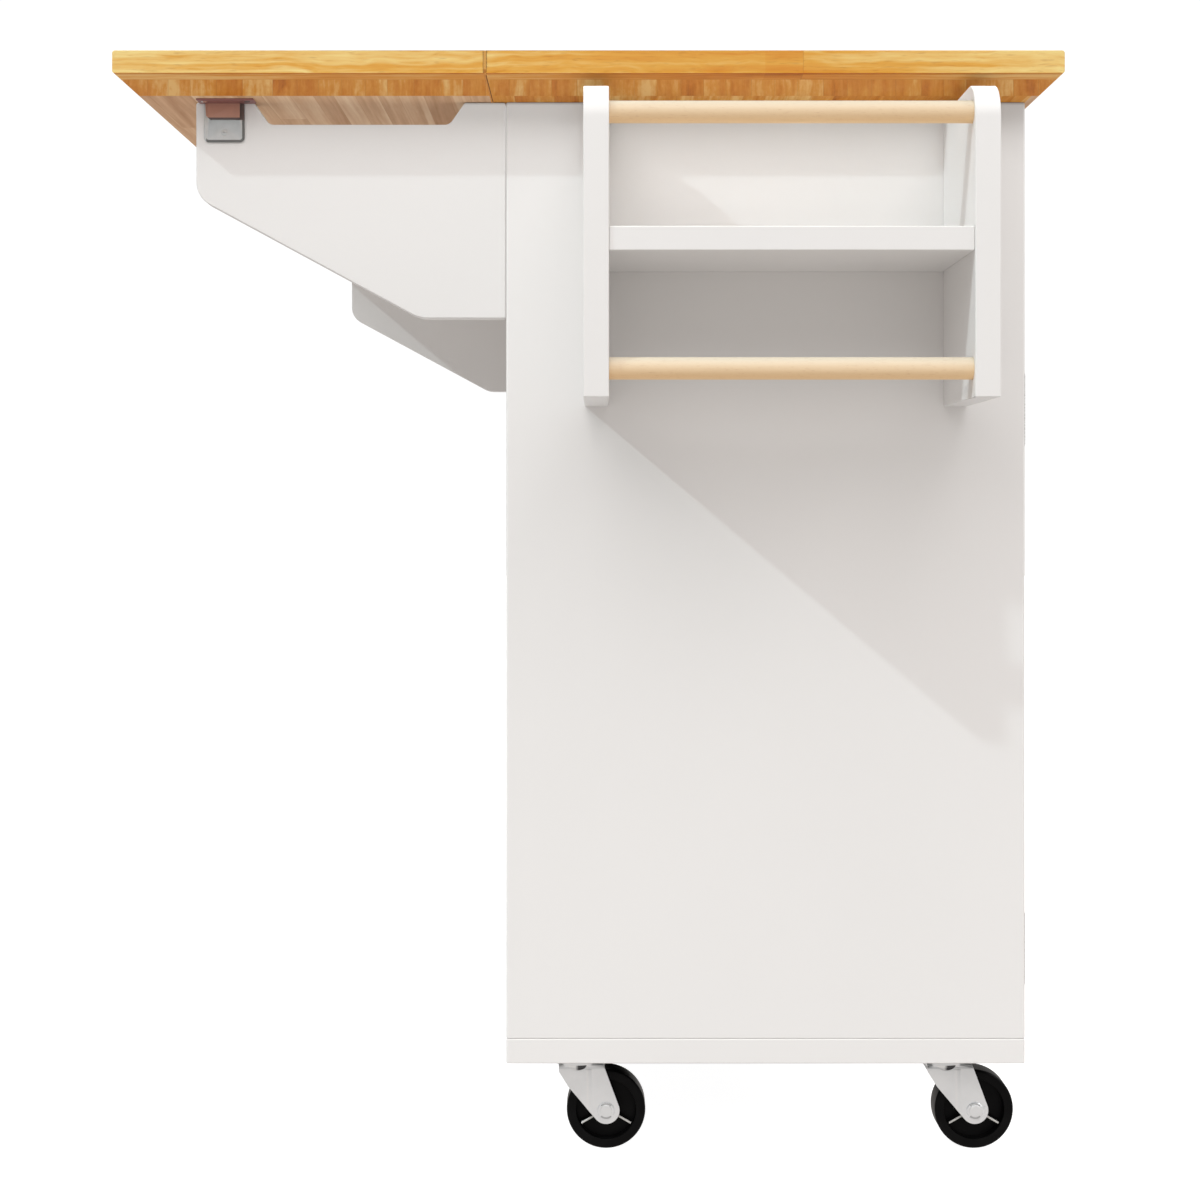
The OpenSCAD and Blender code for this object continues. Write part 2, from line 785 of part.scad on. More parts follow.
// Outline with X out from the cabinet and Y up, the top edge at zero
module support_outline() {
  corners = [
    [0, 0], [0, -support_h], [support_foot, -support_h],
    [support_l, -support_end_h], [support_l, 0]
  ];
  mid = support_l - notch_in - notch_w / 2;
  notch = [
    [mid - notch_w / 2, 0], [mid - notch_floor_w / 2, -notch_h],
    [mid + notch_floor_w / 2, -notch_h], [mid + notch_w / 2, 0],
    [mid + notch_w / 2, notch_h], [mid - notch_w / 2, notch_h]
  ];
  difference() {
    rounded(corners, [support_heel_r, support_heel_r, support_bend_r, support_nose_r, support_tip_r]);
    rounded(notch, [0, notch_r, notch_r, 0, 0, 0]);
  }
}

module support(y0) {
  color(paint) translate([support_x1, y0 + support_t, support_top])
    rotate([90, 0, 0]) linear_extrude(support_t) mirror([1, 0]) support_outline();
}

// A sheet hanging from the leaf's underside, its lower corners rounded, centred on the origin in X
module hanging_sheet(l, h, y0) {
  outline = [[-l / 2, 0], [l / 2, 0], [l / 2, -h], [-l / 2, -h]];
  translate([0, y0 + keeper_t, 0]) rotate([90, 0, 0])
    linear_extrude(keeper_t) rounded(outline, [0, 0, keeper_r, keeper_r]);
}

// Steel angles screwed under the leaf, each standing just outside a support, with a tab folded
// over its face at the bend
module keeper(y, way) {
  x_drop = support_x1 - support_l + keeper_drop_in + keeper_drop_l / 2;
  x_top = support_x1 - support_l + keeper_in - x_drop;
  translate([x_drop, y, under_z]) mirror([0, way > 0 ? 0 : 1, 0]) {
    translate([x_top, slip, -keeper_t]) cube([keeper_top_l, keeper_top_w, keeper_t]);
    hanging_sheet(keeper_tab_l, keeper_tab_h, slip + keeper_t);
    difference() {
      hanging_sheet(keeper_drop_l, keeper_drop_h, slip);
      translate([0, slip + keeper_t / 2, -keeper_hole_down]) rotate([90, 0, 0])
        cylinder(r = keeper_hole_r, h = 3 * keeper_t, center = true);
    }
  }
}

module keepers() {
  color(steel) {
    keeper(near_y, -1);
    keeper(far_y, 1);
  }
}

// End rack

module rod_sockets() {
  for (p = [[rack_y + rod_in, rack_z + rack_h - rail_down], [rack_y + rod_in, rack_z + bar_up]])
    translate([rack_x + rack_w / 2, p[0], p[1]]) rotate([0, 90, 0])
      cylinder(d = rod_d + 2 * run_fit, h = rack_w - 2 * rack_t + 2 * rod_socket, center = true);
}

// Side board of the rack, drawn in Y and Z and run along X
module rack_side(x0) {
  corners = [
    [rack_y, rack_z], [near_y, rack_z],
    [near_y, rack_z + rack_h], [rack_y, rack_z + rack_h]
  ];
  color(paint) difference() {
    translate([x0, 0, 0]) rotate([90, 0, 90]) linear_extrude(rack_t)
      rounded(corners, [rack_foot_r, 0, 0, rack_corner_r]);
    rod_sockets();
  }
}

module rack_shelf() {
  x = [rack_x + rack_t, rack_x + rack_w - rack_t];
  z = rack_z + rack_shelf_up;
  color(paint) block(x, [rack_y + rack_shelf_back, near_y], [z, z + rack_shelf_t]);
}

module rod(z) {
  color(beech) translate([rack_x + rack_w / 2, rack_y + rod_in, z]) rotate([0, 90, 0])
    cylinder(d = rod_d, h = rod_l, center = true);
}

// Casters

module plate_outline() {
  corners = [
    [-plate_l / 2, -plate_w / 2], [plate_l / 2, -plate_w / 2],
    [plate_l / 2, plate_w / 2], [-plate_l / 2, plate_w / 2]
  ];
  difference() {
    rounded(corners, [plate_r, plate_r, plate_r, plate_r]);
    at_plate_screws() circle(r = screw_r + screw_play);
  }
}

// One cup of the swivel race, with its lower rim rounded and half of the balls' groove
module race_cup(z0, z1) {
  lip = min(race_lip, z1 - z0);
  difference() {
    rotate_extrude() rounded([[0, z0], [race_r, z0], [race_r, z1], [0, z1]], [0, lip, 0, 0]);
    translate([0, 0, ball_z]) rotate_extrude() translate([ball_r, 0]) circle(d = ball_d + slip);
  }
}

// Top plate with its cup of the swivel race, and the kingpin riveted through it
module caster_plates() {
  plate_z = caster_h - fork_t;
  color(zinc) at_casters() {
    translate([0, 0, plate_z]) linear_extrude(fork_t) plate_outline();
    race_cup(plate_z - race_h, plate_z);
    translate([0, 0, crown_z - fork_t - slip]) cylinder(d = kingpin_d, h = plate_z - crown_z + fork_t);
    translate([0, 0, crown_z - fork_t - slip - rivet_h]) cylinder(d = kingpin_d + rivet_over, h = rivet_h);
  }
}

module caster_balls() {
  color(steel) at_casters()
    for (i = [0:ball_count - 1])
      rotate([0, 0, i * 360 / ball_count]) translate([ball_r, 0, ball_z]) sphere(d = ball_d);
}

module caster_screws() {
  color(steel) at_casters() at_plate_screws() {
    translate([0, 0, caster_h - fork_t - screw_head_h]) cylinder(r = screw_head_r, h = screw_head_h);
    translate([0, 0, caster_h - fork_t]) cylinder(r = screw_r, h = fork_t + screw_l);
  }
}

// One leg of the fork, X back from the swivel centre and Y up
module leg_outline() {
  hub = [trail, wheel_d / 2];
  front = [-fork_lead / 2, crown_z - fork_neck];
  back = [fork_tail, crown_z];
  polygon([
    [-fork_lead, crown_z], [-fork_lead, crown_z - fork_shoulder], front,
    tangent(front, hub, fork_r, -1), hub, tangent(back, hub, fork_r, 1), back
  ]);
  translate(hub) circle(r = fork_r);
}

// The sheet bent over the wheel, seen along X: two legs and the crown, with round bends
module fork_bends() {
  gap = fork_gap / 2;
  inside = fork_bend_r - fork_t;
  difference() {
    rounded([[-fork_out, 0], [fork_out, 0], [fork_out, crown_z], [-fork_out, crown_z]],
      [0, 0, fork_bend_r, fork_bend_r]);
    rounded([[-gap, -1], [gap, -1], [gap, crown_z - fork_t], [-gap, crown_z - fork_t]],
      [0, 0, inside, inside]);
  }
}

// A shallow rib pressed out of each leg, seen from above
module creases() {
  bend = (crease_w * crease_w / 4 + crease_h * crease_h) / (2 * crease_h);
  for (s = [-1, 1])
    intersection() {
      translate([crease_in, s * (fork_out + crease_h - bend)]) circle(r = bend);
      translate([crease_in, s * fork_out]) square([crease_w, 2 * crease_h], center = true);
    }
}

module fork_sheet() {
  intersection() {
    union() {
      translate([-fork_lead, 0, 0]) rotate([90, 0, 90])
        linear_extrude(fork_lead + trail + fork_r) fork_bends();
      linear_extrude(crown_z - fork_bend_r) creases();
    }
    translate([0, fork_out + 2 * crease_h, 0]) rotate([90, 0, 0])
      linear_extrude(2 * fork_out + 4 * crease_h) leg_outline();
  }
}

// Pressed fork with its cup of the race, and the axle riveted across its legs
module caster_fork(i) {
  color(zinc) translate([caster_x[i], caster_y[i], 0]) {
    difference() {
      union() {
        fork_sheet();
        race_cup(crown_z - fork_t, crown_z + race_h);
      }
      translate([0, 0, crown_z - fork_t - 1])
        cylinder(d = kingpin_d + 2 * run_fit, h = fork_t + race_h + 2);
    }
    translate([trail, 0, wheel_d / 2]) rotate([90, 0, 0]) {
      cylinder(d = axle_d, h = fork_gap, center = true);
      for (s = [0, 1])
        mirror([0, 0, s]) translate([0, 0, fork_out]) {
          cylinder(d1 = axle_head_d, d2 = axle_head_d - rivet_h, h = rivet_h);
          cylinder(d = axle_end_d, h = 1.5 * rivet_h);
        }
    }
  }
}

module wheel_half() {
  h = wheel_w / 2;
  r = wheel_d / 2;
  translate([rim_r, 0]) square([r - rim_r - tread_r, h]);
  translate([rim_r, 0]) square([r - rim_r, h - tread_r]);
  translate([r - tread_r, h - tread_r]) circle(r = tread_r);
  square([rim_r + 1, web_t / 2]);
  square([hub_r, hub_w / 2]);
}

module caster_wheel(i) {
  r_in = hub_r - 1;
  rib_h = wheel_w / 2 - rib_back;
  color(rubber) translate([caster_x[i] + trail, caster_y[i], wheel_d / 2]) rotate([90, 0, 0])
    difference() {
      union() {
        rotate_extrude() wheel_half();
        mirror([0, 0, 1]) rotate_extrude() wheel_half();
        for (a = [90:120:330])
          rotate([0, 0, a]) translate([r_in, -rib_t / 2, -rib_h]) cube([rim_r + 1 - r_in, rib_t, 2 * rib_h]);
      }
      cylinder(d = axle_d + 2 * run_fit, h = hub_w + 2, center = true);
    }
}

worktop();
side_panel_near();
side_panel_far();
bottom_board();
back_panel();
partition();
front_stretcher();
back_stretcher();
drawer_rails();
shelf(0);  // shelf_near
shelf(1);  // shelf_far
shelf_pins();
drawer_runners();
door_catches();
hinge_plates();
leaf_hinge_plates();
hinge_pins();
rack_side(rack_x);  // rack_side_back
rack_side(rack_x + rack_w - rack_t);  // rack_side_front
rack_shelf();
rod(rack_z + rack_h - rail_down);  // rack_rail
rod(rack_z + bar_up);  // towel_bar
caster_plates();
caster_screws();
caster_balls();
leaf_board();
leaf_hinge_wings();
keepers();
support(near_y);  // support_near
support(far_y - support_t);  // support_far
support_wings(0);  // support_wings_near
support_wings(1);  // support_wings_far
door(0);  // door_1
door(1);  // door_2
door(2);  // door_3
door(3);  // door_4
door_knob(0);  // door_knob_1
door_knob(1);  // door_knob_2
door_knob(2);  // door_knob_3
door_knob(3);  // door_knob_4
door_wings(0);  // door_wings_1
door_wings(1);  // door_wings_2
door_wings(2);  // door_wings_3
door_wings(3);  // door_wings_4
drawer_front(0);  // drawer_front_1
drawer_front(1);  // drawer_front_2
drawer_box(0);  // drawer_box_1
drawer_box(1);  // drawer_box_2
drawer_knob(0);  // drawer_knob_1
drawer_knob(1);  // drawer_knob_2
drawer_slides(0);  // drawer_slides_1
drawer_slides(1);  // drawer_slides_2
caster_fork(0);  // caster_fork_1
caster_fork(1);  // caster_fork_2
caster_fork(2);  // caster_fork_3
caster_fork(3);  // caster_fork_4
caster_wheel(0);  // caster_wheel_1
caster_wheel(1);  // caster_wheel_2
caster_wheel(2);  // caster_wheel_3
caster_wheel(3);  // caster_wheel_4
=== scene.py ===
# Rolling kitchen island with a drop leaf: finishes, softened boards, screws, light and camera.
import json
import math
import bmesh
import bpy
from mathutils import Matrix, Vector

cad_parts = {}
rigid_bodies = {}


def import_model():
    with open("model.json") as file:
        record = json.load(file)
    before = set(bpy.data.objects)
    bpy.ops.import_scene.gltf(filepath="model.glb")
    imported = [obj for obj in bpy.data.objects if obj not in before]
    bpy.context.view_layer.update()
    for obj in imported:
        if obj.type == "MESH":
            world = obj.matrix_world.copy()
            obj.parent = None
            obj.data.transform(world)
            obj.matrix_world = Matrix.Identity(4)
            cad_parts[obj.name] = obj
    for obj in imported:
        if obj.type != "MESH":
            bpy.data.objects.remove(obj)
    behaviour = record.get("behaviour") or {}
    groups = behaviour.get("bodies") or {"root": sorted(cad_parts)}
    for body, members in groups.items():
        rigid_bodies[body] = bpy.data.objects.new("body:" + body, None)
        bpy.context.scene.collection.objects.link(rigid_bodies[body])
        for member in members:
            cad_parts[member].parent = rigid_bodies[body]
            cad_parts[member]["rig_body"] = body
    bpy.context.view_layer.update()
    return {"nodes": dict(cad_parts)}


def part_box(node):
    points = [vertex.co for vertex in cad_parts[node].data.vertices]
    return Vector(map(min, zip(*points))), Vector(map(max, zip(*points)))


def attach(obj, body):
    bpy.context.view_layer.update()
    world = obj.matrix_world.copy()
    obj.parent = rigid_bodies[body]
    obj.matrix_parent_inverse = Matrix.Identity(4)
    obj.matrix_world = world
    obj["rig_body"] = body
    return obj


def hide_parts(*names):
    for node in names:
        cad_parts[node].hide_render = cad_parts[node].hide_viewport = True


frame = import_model()
nodes = frame["nodes"]
mm = 0.001


# Node sheets: a wire takes part in plain expressions, a sheet adds the nodes

class Wire:
    def __init__(self, sheet, socket):
        self.sheet = sheet
        self.socket = socket

    def maths(self, operation, first, second):
        return self.sheet.add("ShaderNodeMath", {"operation": operation}, {0: first, 1: second})

    def __add__(self, other):
        return self.maths("ADD", self, other)

    def __radd__(self, other):
        return self.maths("ADD", other, self)

    def __sub__(self, other):
        return self.maths("SUBTRACT", self, other)

    def __rsub__(self, other):
        return self.maths("SUBTRACT", other, self)

    def __mul__(self, other):
        return self.maths("MULTIPLY", self, other)

    def __rmul__(self, other):
        return self.maths("MULTIPLY", other, self)

    def __truediv__(self, other):
        return self.maths("DIVIDE", self, other)

    def __mod__(self, other):
        return self.maths("FLOORED_MODULO", self, other)

    def __pow__(self, other):
        return self.maths("POWER", self, other)

    def __gt__(self, other):
        return self.maths("GREATER_THAN", self, other)

    def __lt__(self, other):
        return self.maths("LESS_THAN", self, other)

    def __abs__(self):
        return self.maths("ABSOLUTE", self, 0)

    def atLeast(self, least):
        return self.maths("MAXIMUM", self, least)

    def clamped(self):
        return self.sheet.add("ShaderNodeClamp", {}, {"Value": self})

    def other(self, output):                       # another output of the same node
        return Wire(self.sheet, self.socket.node.outputs[output])


class Sheet:
    def __init__(self, tree):
        self.tree = tree

    def add(self, kind, settings, sockets, output=0):
        node = self.tree.nodes.new(kind)
        for name, value in settings.items():
            if name == "stops":
                self.setStops(node.color_ramp, value)
            else:
                setattr(node, name, value)
        for name, value in sockets.items():
            self.join(value, node.inputs[name])
        return Wire(self, node.outputs[output])

    def join(self, value, socket):
        if isinstance(value, Wire):
            self.tree.links.new(value.socket, socket)
        else:
            socket.default_value = value

    def setStops(self, ramp, stops):
        while len(ramp.elements) < len(stops):
            ramp.elements.new(0.5)
        for element, (place, colour) in zip(ramp.elements, stops):
            element.position = place
            element.color = (*colour, 1)

    def place(self):                               # the piece's own coordinates, in metres
        spot = self.add("ShaderNodeTexCoord", {}, {}, "Object")
        return self.add("ShaderNodeSeparateXYZ", {}, {0: spot}, "X")

    def point(self, x, y, z):
        return self.add("ShaderNodeCombineXYZ", {}, {"X": x, "Y": y, "Z": z})

    def noise(self, point, scale=1.0, detail=3.0, rough=0.5):
        sockets = {"Vector": point, "Scale": scale, "Detail": detail, "Roughness": rough}
        return self.add("ShaderNodeTexNoise", {}, sockets, "Fac")

    def dice(self, x, y, z=0.0):                   # one random number for each cell
        cell = self.point(x, y, z)
        return self.add("ShaderNodeTexWhiteNoise", {"noise_dimensions": "3D"}, {"Vector": cell}, "Value")

    def ramp(self, factor, stops):
        return self.add("ShaderNodeValToRGB", {"stops": stops}, {"Fac": factor}, "Color")

    def mix(self, factor, first, second, blend="MIX"):
        settings = {"data_type": "RGBA", "blend_type": blend, "clamp_factor": True}
        return self.add("ShaderNodeMix", settings, {0: factor, 6: first, 7: second}, 2)

    def bump(self, height, strength, distance):
        return self.add("ShaderNodeBump", {}, {"Height": height, "Strength": strength, "Distance": distance})

    def shine(self, sockets, fixed):               # fixed values go straight to the shader's own sockets
        surface = self.add("ShaderNodeBsdfPrincipled", {}, {**sockets, **fixed}, "BSDF")
        output = self.tree.nodes.new("ShaderNodeOutputMaterial")
        self.tree.links.new(surface.socket, output.inputs["Surface"])


def newMaterial(name, previewColour):
    material = bpy.data.materials.new(name)
    material.use_nodes = True
    material.node_tree.nodes.clear()
    material.diffuse_color = (*previewColour, 1)
    return material, Sheet(material.node_tree)


# White satin paint on the boards

paintLook = {
    "colour": (0.808, 0.802, 0.793), "shade": (0.782, 0.777, 0.768), "roughness": 0.36,
    "roughnessSpread": 0.10, "fineSpread": 0.06, "pebble": 900, "fine": 180, "pebbleShare": 0.6,
    "pebbleDepth": 0.02 * mm, "bump": 0.35, "cloud": 7,
    # painted shade: contact darkens a thin line of the boards just under the worktop
    "paintedContactShade": (0.30, 0.26, 0.22), "contactDeep": 2.6 * mm, "contactFrom": -128 * mm, "contactShare": 0.8,
    # painted light: paintedGapGlow is the glow on the support's end in the gap, and paintedGapShade paints its base
    # darker
    "paintedGapGlow": (0.39, 0.38, 0.37), "paintedGapShade": 0.7, "gapSkin": 0.2 * mm,
    # painted shade: dusk makes the near support a little darker downwards
    "paintedShadeFrom": 866 * mm, "paintedShadeTo": 806 * mm, "paintedShadeDown": 0.03,
}


def makePaint():
    look = paintLook
    material, sheet = newMaterial("whitePaint", look["colour"])
    x = sheet.place()
    spot = sheet.point(x, x.other("Y"), x.other("Z"))
    cloud = sheet.noise(spot, look["cloud"], 4)
    pebble = sheet.noise(spot, look["pebble"], 2)
    fine = sheet.noise(spot, look["fine"], 3)
    colour = sheet.mix(cloud, (*look["colour"], 1), (*look["shade"], 1))
    z = x.other("Z")
    # painted shade: a thin dark line where a board meets the worktop
    contactShadeMask = ((z - topLow.z + look["contactDeep"]) / look["contactDeep"]).clamped() * (x > look["contactFrom"])
    colour = sheet.mix(contactShadeMask * look["contactShare"], colour, (*look["paintedContactShade"], 1))
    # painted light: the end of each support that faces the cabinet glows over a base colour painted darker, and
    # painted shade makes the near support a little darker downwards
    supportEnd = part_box("support_near")[1].x
    paintedGapGlow = abs(x - supportEnd) < look["gapSkin"]
    paintedShadeDown = ((look["paintedShadeFrom"] - z) / (look["paintedShadeFrom"] - look["paintedShadeTo"])).clamped() * look["paintedShadeDown"]
    paintedShadeDown = paintedShadeDown * (x < supportEnd + look["gapSkin"] / 2) * (x.other("Y") < 0)
    colour = sheet.mix((paintedGapGlow * look["paintedGapShade"] + paintedShadeDown).clamped(), colour, (0, 0, 0, 1))
    glow = sheet.mix(paintedGapGlow, (0, 0, 0, 1), (*look["paintedGapGlow"], 1))
    rough = look["roughness"] + (cloud - 0.5) * look["roughnessSpread"] + (fine - 0.5) * look["fineSpread"]
    height = pebble * look["pebbleShare"] + fine * (1 - look["pebbleShare"])
    normal = sheet.bump(height, look["bump"], look["pebbleDepth"])
    sheet.shine({"Base Color": colour, "Roughness": rough, "Normal": normal, "Emission Color": glow},
                {"IOR": 1.48, "Emission Strength": 1.0})
    return material


# Laminated rubberwood: staves run along the island, a strip runs across each end

woodLook = {
    # staves: size, how their rows sway and stagger, and their glue lines in parts of a stave
    "staveWidth": 19 * mm, "staveLength": 330 * mm, "sway": 1.4, "swayScale": 11, "stagger": 9, "offset": 3.0,
    "rowGlueFrom": 0.485, "rowGlue": 0.35, "endGlueFrom": 0.4988, "endGlue": 0.4, "rowShift": 0.37,
    "splay": 1665 * mm, "wave": 13 * mm, "staveWave": 3 * mm,
    # the strip across each end: its tone along the edge, from the leaf's end to the right one
    "stripWidth": 25 * mm, "stripStart": -0.20, "rise": 1.09, "riseEnd": 0.84, "paleRun": 150 * mm, "pale": 0.36,
    "deepFrom": 131 * mm, "deeper": 0.20, "stripJoint": 161 * mm, "jointDrop": 0.37, "rightEnd": 367 * mm,
    "fade": 0.93, "leafShift": 3.1, "jointShift": 5.3, "jointHalf": 0.4 * mm, "joint": 0.5, "stripGlueHalf": 0.35 * mm,
    # how much each layer of the grain counts
    "toneShare": 0.40, "figureShare": 0.85, "streakShare": 0.75, "lineShare": 0.7, "depth": 0.20, "glueShade": 0.55,
    "poreFrom": 0.60, "poreSteep": 5, "poreShade": 0.34, "veinFrom": 0.56, "veinSteep": 4, "veinShade": 0.22,
    "rawTone": 0.32, "rawFigure": 0.7, "rawStreaks": 1.1, "rawLines": 0.4, "rawDepth": 0.03,
    # underneath: an oiled band along each end, with painted shade along its edge
    "underSkin": 0.25 * mm, "underSpread": 1.15, "underDepth": -0.02, "finishedBand": 92 * mm,
    "shadedEdge": 13 * mm, "edgeShare": 0.25, "arris": 5 * mm, "arrisShare": 0.75,
    "face": [(0.04, (0.82, 0.63, 0.245)), (0.42, (0.71, 0.362, 0.058)), (0.74, (0.655, 0.255, 0.027)),
             (1.0, (0.40, 0.14, 0.018))],
    "under": [(0.08, (0.90, 0.55, 0.19)), (0.38, (0.765, 0.322, 0.048)), (0.70, (0.655, 0.218, 0.020)),
              (1.0, (0.47, 0.125, 0.012))],
    "raw": [(0.12, (0.92, 0.68, 0.46)), (0.50, (0.74, 0.47, 0.28)), (1.0, (0.54, 0.29, 0.155))],
    # painted shade: paintedEdgeShade darkens the edge underneath and seam darkens the open seam's walls; seamGlow and
    # seamGlowLow are painted light
    "vein": (0.38, 0.125, 0.016), "paintedEdgeShade": (0.80, 0.62, 0.42), "seam": (0.03, 0.012, 0.004),
    "seamGlow": (0.62, 0.33, 0.095), "seamGlowLow": (0.42, 0.17, 0.04), "seamHalf": 1.1 * mm,
    "seamLow": 3 * mm, "seamSeen": 25 * mm, "roughness": 0.42, "lineSpread": 0.2, "poreSpread": 0.06,
    "underRougher": 0.2, "bump": 0.3, "bumpDepth": 0.12 * mm, "coat": 0.5, "coatFrom": 2 * mm,
}
grainScales = {                                        # across the grain, and along it
    "bend": (9, 2.2), "wave": (16, 13), "figure": (70, 5.5), "streaks": (190, 2.6), "lines": (520, 9),
    "dashes": (330, 46), "pores": (820, 85), "bendSize": 2.5, "lineShare": 0.6, "dashShare": 0.4,
}


def grainLines(sheet, across, along, deep, shift, waviness):
    # broad figure, streaks, fine lines and short pores, all stretched along the grain
    def layer(name, seed, detail, rough=0.5, bent=0):
        wide, long = grainScales[name]
        spot = sheet.point(across * wide + bent, along * long, deep * wide + shift * seed)
        return sheet.noise(spot, 1, detail, rough)

    bend = layer("bend", 40, 2) * grainScales["bendSize"]
    wave = (layer("wave", 57, 2) - 0.5) * waviness
    across = across + wave
    deep = deep + wave
    figure = layer("figure", 63, 4, 0.6, bend)
    streaks = layer("streaks", 29, 2, 0.5, bend)
    lines = layer("lines", 91, 3, 0.6) * grainScales["lineShare"]
    lines = lines + layer("dashes", 71, 2, 0.6) * grainScales["dashShare"]
    pores = layer("pores", 17, 1, 0.4)
    return figure, streaks, lines, pores


def woodStaves(sheet, x, y, z, look, whole):
    # one tone for each stave block, with staggered joints along the row but none in the whole band
    offset = look["offset"]
    slow = sheet.noise(sheet.point(x * look["swayScale"], offset, offset), 1, 1)
    row = x / look["staveWidth"] + slow * look["sway"]
    inRow = row % 1
    row = row - inRow
    step = y * (1 - whole) / look["staveLength"] + sheet.dice(row, offset) * look["stagger"]
    inBlock = step % 1
    tone = sheet.dice(row, step - inBlock, offset)
    glue = (abs(inRow - 0.5) > look["rowGlueFrom"]) * look["rowGlue"]
    glue = glue + (abs(inBlock - 0.5) > look["endGlueFrom"]) * look["endGlue"]
    return tone, glue, *grainLines(sheet, x, y, z, tone + row * look["rowShift"], look["staveWave"])


def woodStrip(sheet, x, y, z, look, seamX):
    # the strip across each end grows deeper towards its joint, and paler again beyond it
    onLeaf = x < seamX
    deeper = (x > look["deepFrom"]) * look["deeper"]
    joint = x > look["stripJoint"]
    rise = ((x - leafLow.x) / (look["stripJoint"] - leafLow.x) / look["riseEnd"]).clamped() * look["rise"]
    pale = (1 - (x - seamX) / look["paleRun"]).clamped() * (1 - onLeaf) * look["pale"]
    fade = ((x - look["stripJoint"]) / (look["rightEnd"] - look["stripJoint"])).clamped() * look["fade"]
    tone = look["stripStart"] + rise - pale + deeper - joint * look["jointDrop"] - fade
    glue = (abs(x - look["stripJoint"]) < look["jointHalf"]) * look["joint"]
    shift = onLeaf * look["leafShift"] + joint * look["jointShift"]
    return tone, glue, *grainLines(sheet, y, x, z, shift, look["wave"])


def makeWood(look, middleY, halfLength, underZ, seamX):
    material, sheet = newMaterial("rubberwood", look["face"][1][1])
    x = sheet.place()
    y = x.other("Y") - middleY
    z = x.other("Z")
    fromEnd = halfLength - abs(y)
    atEnd = fromEnd < look["stripWidth"]
    under = z < underZ + look["underSkin"]
    oiled = under * (fromEnd < look["finishedBand"])
    splayed = x * (1 - oiled * fromEnd / (fromEnd + look["splay"]))
    staves = woodStaves(sheet, splayed, y, z, look, oiled)
    strip = woodStrip(sheet, x, y, z, look, seamX)
    chosen = [sheet.add("ShaderNodeMix", {"data_type": "FLOAT"}, {0: atEnd, 2: a, 3: b})
              for a, b in zip(staves, strip)]
    tone, glue, figure, streaks, lines, pores = chosen
    joint = (abs(fromEnd - look["stripWidth"]) < look["stripGlueHalf"]) * look["joint"]
    amount = tone * look["toneShare"] + (figure - 0.5) * look["figureShare"]
    amount = amount + (streaks - 0.5) * look["streakShare"] + (lines - 0.5) * look["lineShare"] + look["depth"]
    colour = sheet.ramp(amount.clamped(), look["face"])
    dark = ((pores - look["poreFrom"]) * look["poreSteep"]).clamped() * look["poreShade"]
    dark = dark + ((lines - look["veinFrom"]) * look["veinSteep"]).clamped() * look["veinShade"]
    colour = sheet.mix(dark, colour, (*look["vein"], 1))
    # underneath: painted shade along the edge, the oiled band, and raw wood further in
    below = sheet.ramp((amount * look["underSpread"] + look["underDepth"]).clamped(), look["under"])
    shaded = sheet.mix(1.0, below, (*look["paintedEdgeShade"], 1), "MULTIPLY")
    nearEdge = (1 - fromEnd / look["shadedEdge"]).clamped() * look["edgeShare"]
    below = sheet.mix(nearEdge + (fromEnd < look["arris"]) * look["arrisShare"], below, shaded)
    raw = tone * look["rawTone"] + figure * look["rawFigure"] + (streaks - 0.5) * look["rawStreaks"]
    raw = (raw + (lines - 0.5) * look["rawLines"] + look["rawDepth"]).clamped()
    inside = (fromEnd > look["finishedBand"]) * ((x < seamX) + (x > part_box("side_panel_near")[1].x))
    below = sheet.mix(inside, below, sheet.ramp(raw, look["raw"]))
    colour = sheet.mix(under, colour, below)
    colour = sheet.mix((glue + joint) * look["glueShade"], colour, (*look["vein"], 1))
    # the open seam: painted shade darkens its walls, and painted light makes them glow a little near the end and
    # underneath
    low = z < underZ + look["seamLow"]
    atSeam = abs(x - seamX) < look["seamHalf"]
    colour = sheet.mix(atSeam, colour, (*look["seam"], 1))
    glow = sheet.mix(fromEnd < look["seamSeen"], (0, 0, 0, 1), (*look["seamGlow"], 1))
    glow = sheet.mix(low, glow, (*look["seamGlowLow"], 1))
    glow = sheet.mix(atSeam, (0, 0, 0, 1), glow)
    rough = look["roughness"] + (lines - 0.5) * look["lineSpread"] + pores * look["poreSpread"]
    rough = rough + under * look["underRougher"]
    height = lines * 0.5 + pores * -0.35 + glue * -0.6 + joint * -0.8
    normal = sheet.bump(height, look["bump"], look["bumpDepth"])
    coat = (z > underZ + look["coatFrom"]) * look["coat"] * (1 - atSeam)
    sheet.shine({"Base Color": colour, "Roughness": rough, "Normal": normal, "Coat Weight": coat,
                 "Emission Color": glow},
                {"IOR": 1.45, "Specular IOR Level": 0.15, "Coat Roughness": 0.3, "Emission Strength": 1.0})
    return material


# Beech dowels, sanded and lacquered, with the grain along the rod

beechLook = {
    "pale": (0.87, 0.72, 0.49), "warm": (0.80, 0.60, 0.36), "fleck": (0.58, 0.36, 0.19), "roughness": 0.44,
    # painted shade above the rods and painted light below them
    "paintedShadeAbove": (0.785, 0.87, 1.05), "paintedLightBelow": (1.09, 0.95, 0.80), "tintSpread": 1.3,
    "grain": [(3, 60, 4), (8, 700, 2), (190, 1500, 1)],          # along, across, detail
    "fleckFrom": 0.6, "fleckSteep": 4, "fleckShade": 0.5, "lineSpread": 0.12, "bump": 0.25, "bumpDepth": 0.05 * mm,
}


